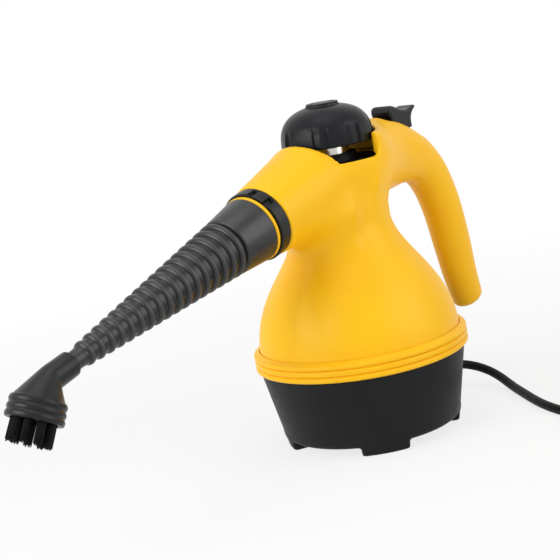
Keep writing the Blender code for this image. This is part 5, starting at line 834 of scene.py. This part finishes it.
def grow(tree, kind, inputs=(), output=0, **settings):
    """One shader node, which gives back an output. An input takes a value or another node's output."""
    node = tree.nodes.new("ShaderNode" + kind)
    for key, value in settings.items():
        setattr(node, key, value)
    for key, value in dict(inputs).items():
        if isinstance(value, bpy.types.NodeSocket):
            tree.links.new(value, node.inputs[key])
        else:
            node.inputs[key].default_value = value
    return node.outputs[output] if node.outputs else None


def grained(name, colour, shade, rough, swing, broad, grain, depth, metallic=0.0, spec=0.5, pits=0.0,
            painted_highlight=None):
    """A moulded or metal finish. Broad noise runs the colour between two near tones, finer noise swings the
    roughness, and fine grain with faint pits lifts the surface. Where the piece's painted highlight attribute is one,
    the tone is the lighter painted highlight colour, which stands in for shine. Sizes are millimetres."""
    material = bpy.data.materials.new(name)
    tree = blank_tree(material)
    where = grow(tree, "TexCoord", output="Object")

    def noise(size, detail, rough_share=0.5):
        return grow(tree, "TexNoise", {"Vector": where, "Scale": 1000 / size, "Detail": detail,
                                       "Roughness": rough_share}, "Fac")

    tone = grow(tree, "ValToRGB", {"Fac": noise(broad, 3)}, "Color")
    for stop, place, value in zip(tone.node.color_ramp.elements, (0.32, 0.68), (shade, colour)):
        stop.position, stop.color = place, linear(value)
    # Painted highlight: the tone is raised towards a lighter colour wherever the piece's attribute marks shine.
    if painted_highlight:
        mark = grow(tree, "Attribute", output="Fac", attribute_name="painted_highlight")
        tone = grow(tree, "MixRGB", {"Fac": mark, "Color1": tone, "Color2": linear(painted_highlight)}, "Color")
    spread = grow(tree, "MapRange", {"Value": noise(broad / 4, 4, 0.6), "From Min": 0.3, "From Max": 0.7,
                                     "To Min": rough - swing, "To Max": rough + swing}, "Result")
    lift = grow(tree, "Bump", {"Strength": 1.0, "Distance": depth * MM, "Height": noise(grain, 2)}, "Normal")
    if pits:
        cells = grow(tree, "TexVoronoi", {"Vector": where, "Scale": 1000 / pits}, "Distance")
        lift = grow(tree, "Bump", {"Distance": depth * MM, "Height": cells, "Normal": lift}, "Normal")
    shader = grow(tree, "BsdfPrincipled", {"Base Color": tone, "Roughness": spread, "Normal": lift,
                                           "Metallic": metallic, "Specular IOR Level": spec}, "BSDF")
    grow(tree, "OutputMaterial", {"Surface": shader})
    return material


yellow = grained("yellow_moulding", (254, 195, 22), (251, 190, 18), 0.40, 0.03, 40, 0.9, 0.006,
                 spec=0.22)
black = grained("black_moulding", (22, 23, 24), (18, 19, 20), 0.34, 0.04, 25, 0.5, 0.012, spec=0.26)
# The ribbed moulding's last colour is a painted highlight tone for the rib crests and the sleeve.
ribbed = grained("ribbed_moulding", (12, 12, 13), (9, 9, 10), 0.33, 0.04, 25, 0.5, 0.008, spec=0.42,
                 painted_highlight=(52, 53, 55))
base_black = grained("stippled_base", (25, 26, 28), (21, 22, 24), 0.50, 0.04, 25, 0.6, 0.02,
                     spec=0.16, pits=0.7)
cap_black = grained("cap_moulding", (28, 29, 32), (24, 25, 28), 0.34, 0.04, 20, 0.5, 0.010, spec=0.14)
rubber = grained("black_rubber_skin", (18, 19, 20), (14, 15, 16), 0.55, 0.05, 12, 0.4, 0.012,
                 spec=0.15)
bright = grained("turned_bright_metal", (214, 211, 205), (198, 196, 190), 0.22, 0.05, 9, 0.35, 0.002,
                 metallic=1.0)
casting = grained("cast_aluminium_skin", (176, 178, 180), (158, 160, 162), 0.48, 0.06, 7, 0.6, 0.03,
                  metallic=1.0)
brass = grained("drawn_brass", (206, 168, 96), (190, 150, 80), 0.28, 0.05, 10, 0.4, 0.003, metallic=1.0)
silicone = grained("red_silicone", (178, 62, 48), (162, 52, 40), 0.52, 0.05, 9, 0.5, 0.008, spec=0.4)
nylon = grained("natural_nylon", (216, 210, 194), (204, 198, 180), 0.42, 0.05, 9, 0.4, 0.006, spec=0.45)
bristle = grained("bristle_nylon", (14, 14, 15), (9, 10, 10), 0.36, 0.05, 4, 0.3, 0.004, spec=0.12)
ceramic = grained("heater_sheath", (138, 136, 132), (120, 118, 114), 0.42, 0.06, 6, 0.4, 0.01, metallic=0.9)

INNER = (
    (casting, "boiler_lower boiler_upper"), (silicone, "boiler_gasket live_wire"), (ceramic, "heating_element"),
    (nylon, "thermal_fuse terminal_block neutral_wire"), (rubber, "cord_tail"),
    (brass, "steam_inlet_pipe steam_outlet_pipe valve_body"),
    (bright, "thermostat valve_stem valve_spring cap_spring cap_retainer "
             "boiler_screw_1 boiler_screw_2 boiler_screw_3 boiler_screw_4"))


def dress_inner_parts():
    """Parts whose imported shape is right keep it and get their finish."""
    for finish, names in INNER:
        for name in names.split():
            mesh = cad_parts[name].data
            mesh.materials.clear()
            mesh.materials.append(finish)


# Floor, light and camera

def lit_white(tree, share=None):
    """White to the camera, to gloss and to glass, and a plain diffuse white to everything else."""
    rays = grow(tree, "LightPath").node.outputs
    both = grow(tree, "Math", {0: rays["Is Camera Ray"], 1: rays["Is Glossy Ray"]}, operation="MAXIMUM")
    both = grow(tree, "Math", {0: both, 1: rays["Is Transmission Ray"]}, operation="MAXIMUM")
    return both if share is None else grow(tree, "Math", {0: both, 1: share}, operation="MULTIPLY")


def make_floor():
    """A round floor. Near the part its white keeps part of the shadow, further out it runs to plain white."""
    r = np.concatenate([[0], np.geomspace(50, 9000, 12)])
    turn = np.linspace(0, TAU, 48, endpoint=False)
    grid = np.stack([r[:, None] * np.cos(turn), r[:, None] * np.sin(turn), 0 * r[:, None] * turn], -1)[::-1]
    points, quads, corners = loft(grid)
    mesh = bpy.data.meshes.new("floor")
    mesh.from_pydata([tuple(p) for p in (points + (AXIS_X, 0, -0.2)) * MM], [],
                     [tuple(f) for f in quads] + [tuple(f) for f in corners])
    mesh.update()
    floor = bpy.data.objects.new("floor", mesh)
    bpy.context.scene.collection.objects.link(floor)
    material = bpy.data.materials.new("pale_floor")
    tree = blank_tree(material)
    away = grow(tree, "VectorMath", {0: grow(tree, "TexCoord", output="Object")}, "Value", operation="LENGTH")
    fade = grow(tree, "MapRange", {"Value": away, "From Min": 0.25, "From Max": 0.75, "To Min": 0.78,
                                   "To Max": 1.0}, "Result")
    paint, glow = grow(tree, "BsdfDiffuse", {"Color": PALE}), grow(tree, "Emission", {"Color": WHITE})
    mixed = grow(tree, "MixShader", {"Fac": lit_white(tree, fade), 1: paint, 2: glow})
    grow(tree, "OutputMaterial", {"Surface": mixed})
    mesh.materials.append(material)


def make_world():
    world = bpy.data.worlds.new("plain_room")
    bpy.context.scene.world = world
    tree = blank_tree(world)
    room, white = (grow(tree, "Background", {"Color": WHITE, "Strength": k}) for k in (ROOM_LIGHT, 1.0))
    mixed = grow(tree, "MixShader", {"Fac": lit_white(tree), 1: room, 2: white})
    grow(tree, "OutputWorld", {"Surface": mixed})


def aimed(place, target, roll=0.0):
    """A matrix whose -Z looks from the place to the target."""
    place, target = np.array(place, float), np.array(target, float)
    back = (place - target) / np.linalg.norm(place - target)
    right = np.cross((0, 0, 1.0), back)
    right /= np.linalg.norm(right)
    up = np.cross(back, right)
    c, s = math.cos(roll), math.sin(roll)
    right, up = c * right - s * up, s * right + c * up
    rows = np.eye(4)
    rows[:3, 0], rows[:3, 1], rows[:3, 2], rows[:3, 3] = right, up, back, place
    return Matrix(rows.tolist())


def make_lamps():
    for name, place, size, watts in LAMPS:
        data = bpy.data.lights.new(name, "AREA")
        data.shape, data.size, data.energy = "DISK", size, watts
        obj = bpy.data.objects.new(name, data)
        obj.matrix_world = aimed(place, LAMP_TARGET)
        bpy.context.scene.collection.objects.link(obj)


def make_camera():
    """The photograph's view: 47 degrees round, 11 above, rolled by 10, one metre away."""
    around, above, roll = np.radians(VIEW_ANGLES)
    target = np.array(VIEW_TARGET)
    back = np.array((math.sin(around) * math.cos(above), -math.cos(around) * math.cos(above), math.sin(above)))
    data = bpy.data.cameras.new("camera")
    data.sensor_width, data.lens, data.clip_start = 36.0, LENS, 0.05
    obj = bpy.data.objects.new("camera", data)
    obj.matrix_world = aimed(target + back, target, roll)
    bpy.context.scene.collection.objects.link(obj)
    bpy.context.scene.camera = obj


make_base(base_black)
make_band(yellow)
make_housing(yellow)
make_neck(bright, rubber)
make_cap(cap_black)
make_plug_parts(nylon, silicone, brass)
make_trigger(black, bright)
make_collar(black)
make_nozzle(ribbed, yellow, silicone, brass)
make_brush(black, bristle)
make_lead(rubber, brass)
make_screws(bright)
dress_inner_parts()
make_floor()
make_world()
make_lamps()
make_camera()
bpy.context.scene.view_settings.view_transform = "Standard"
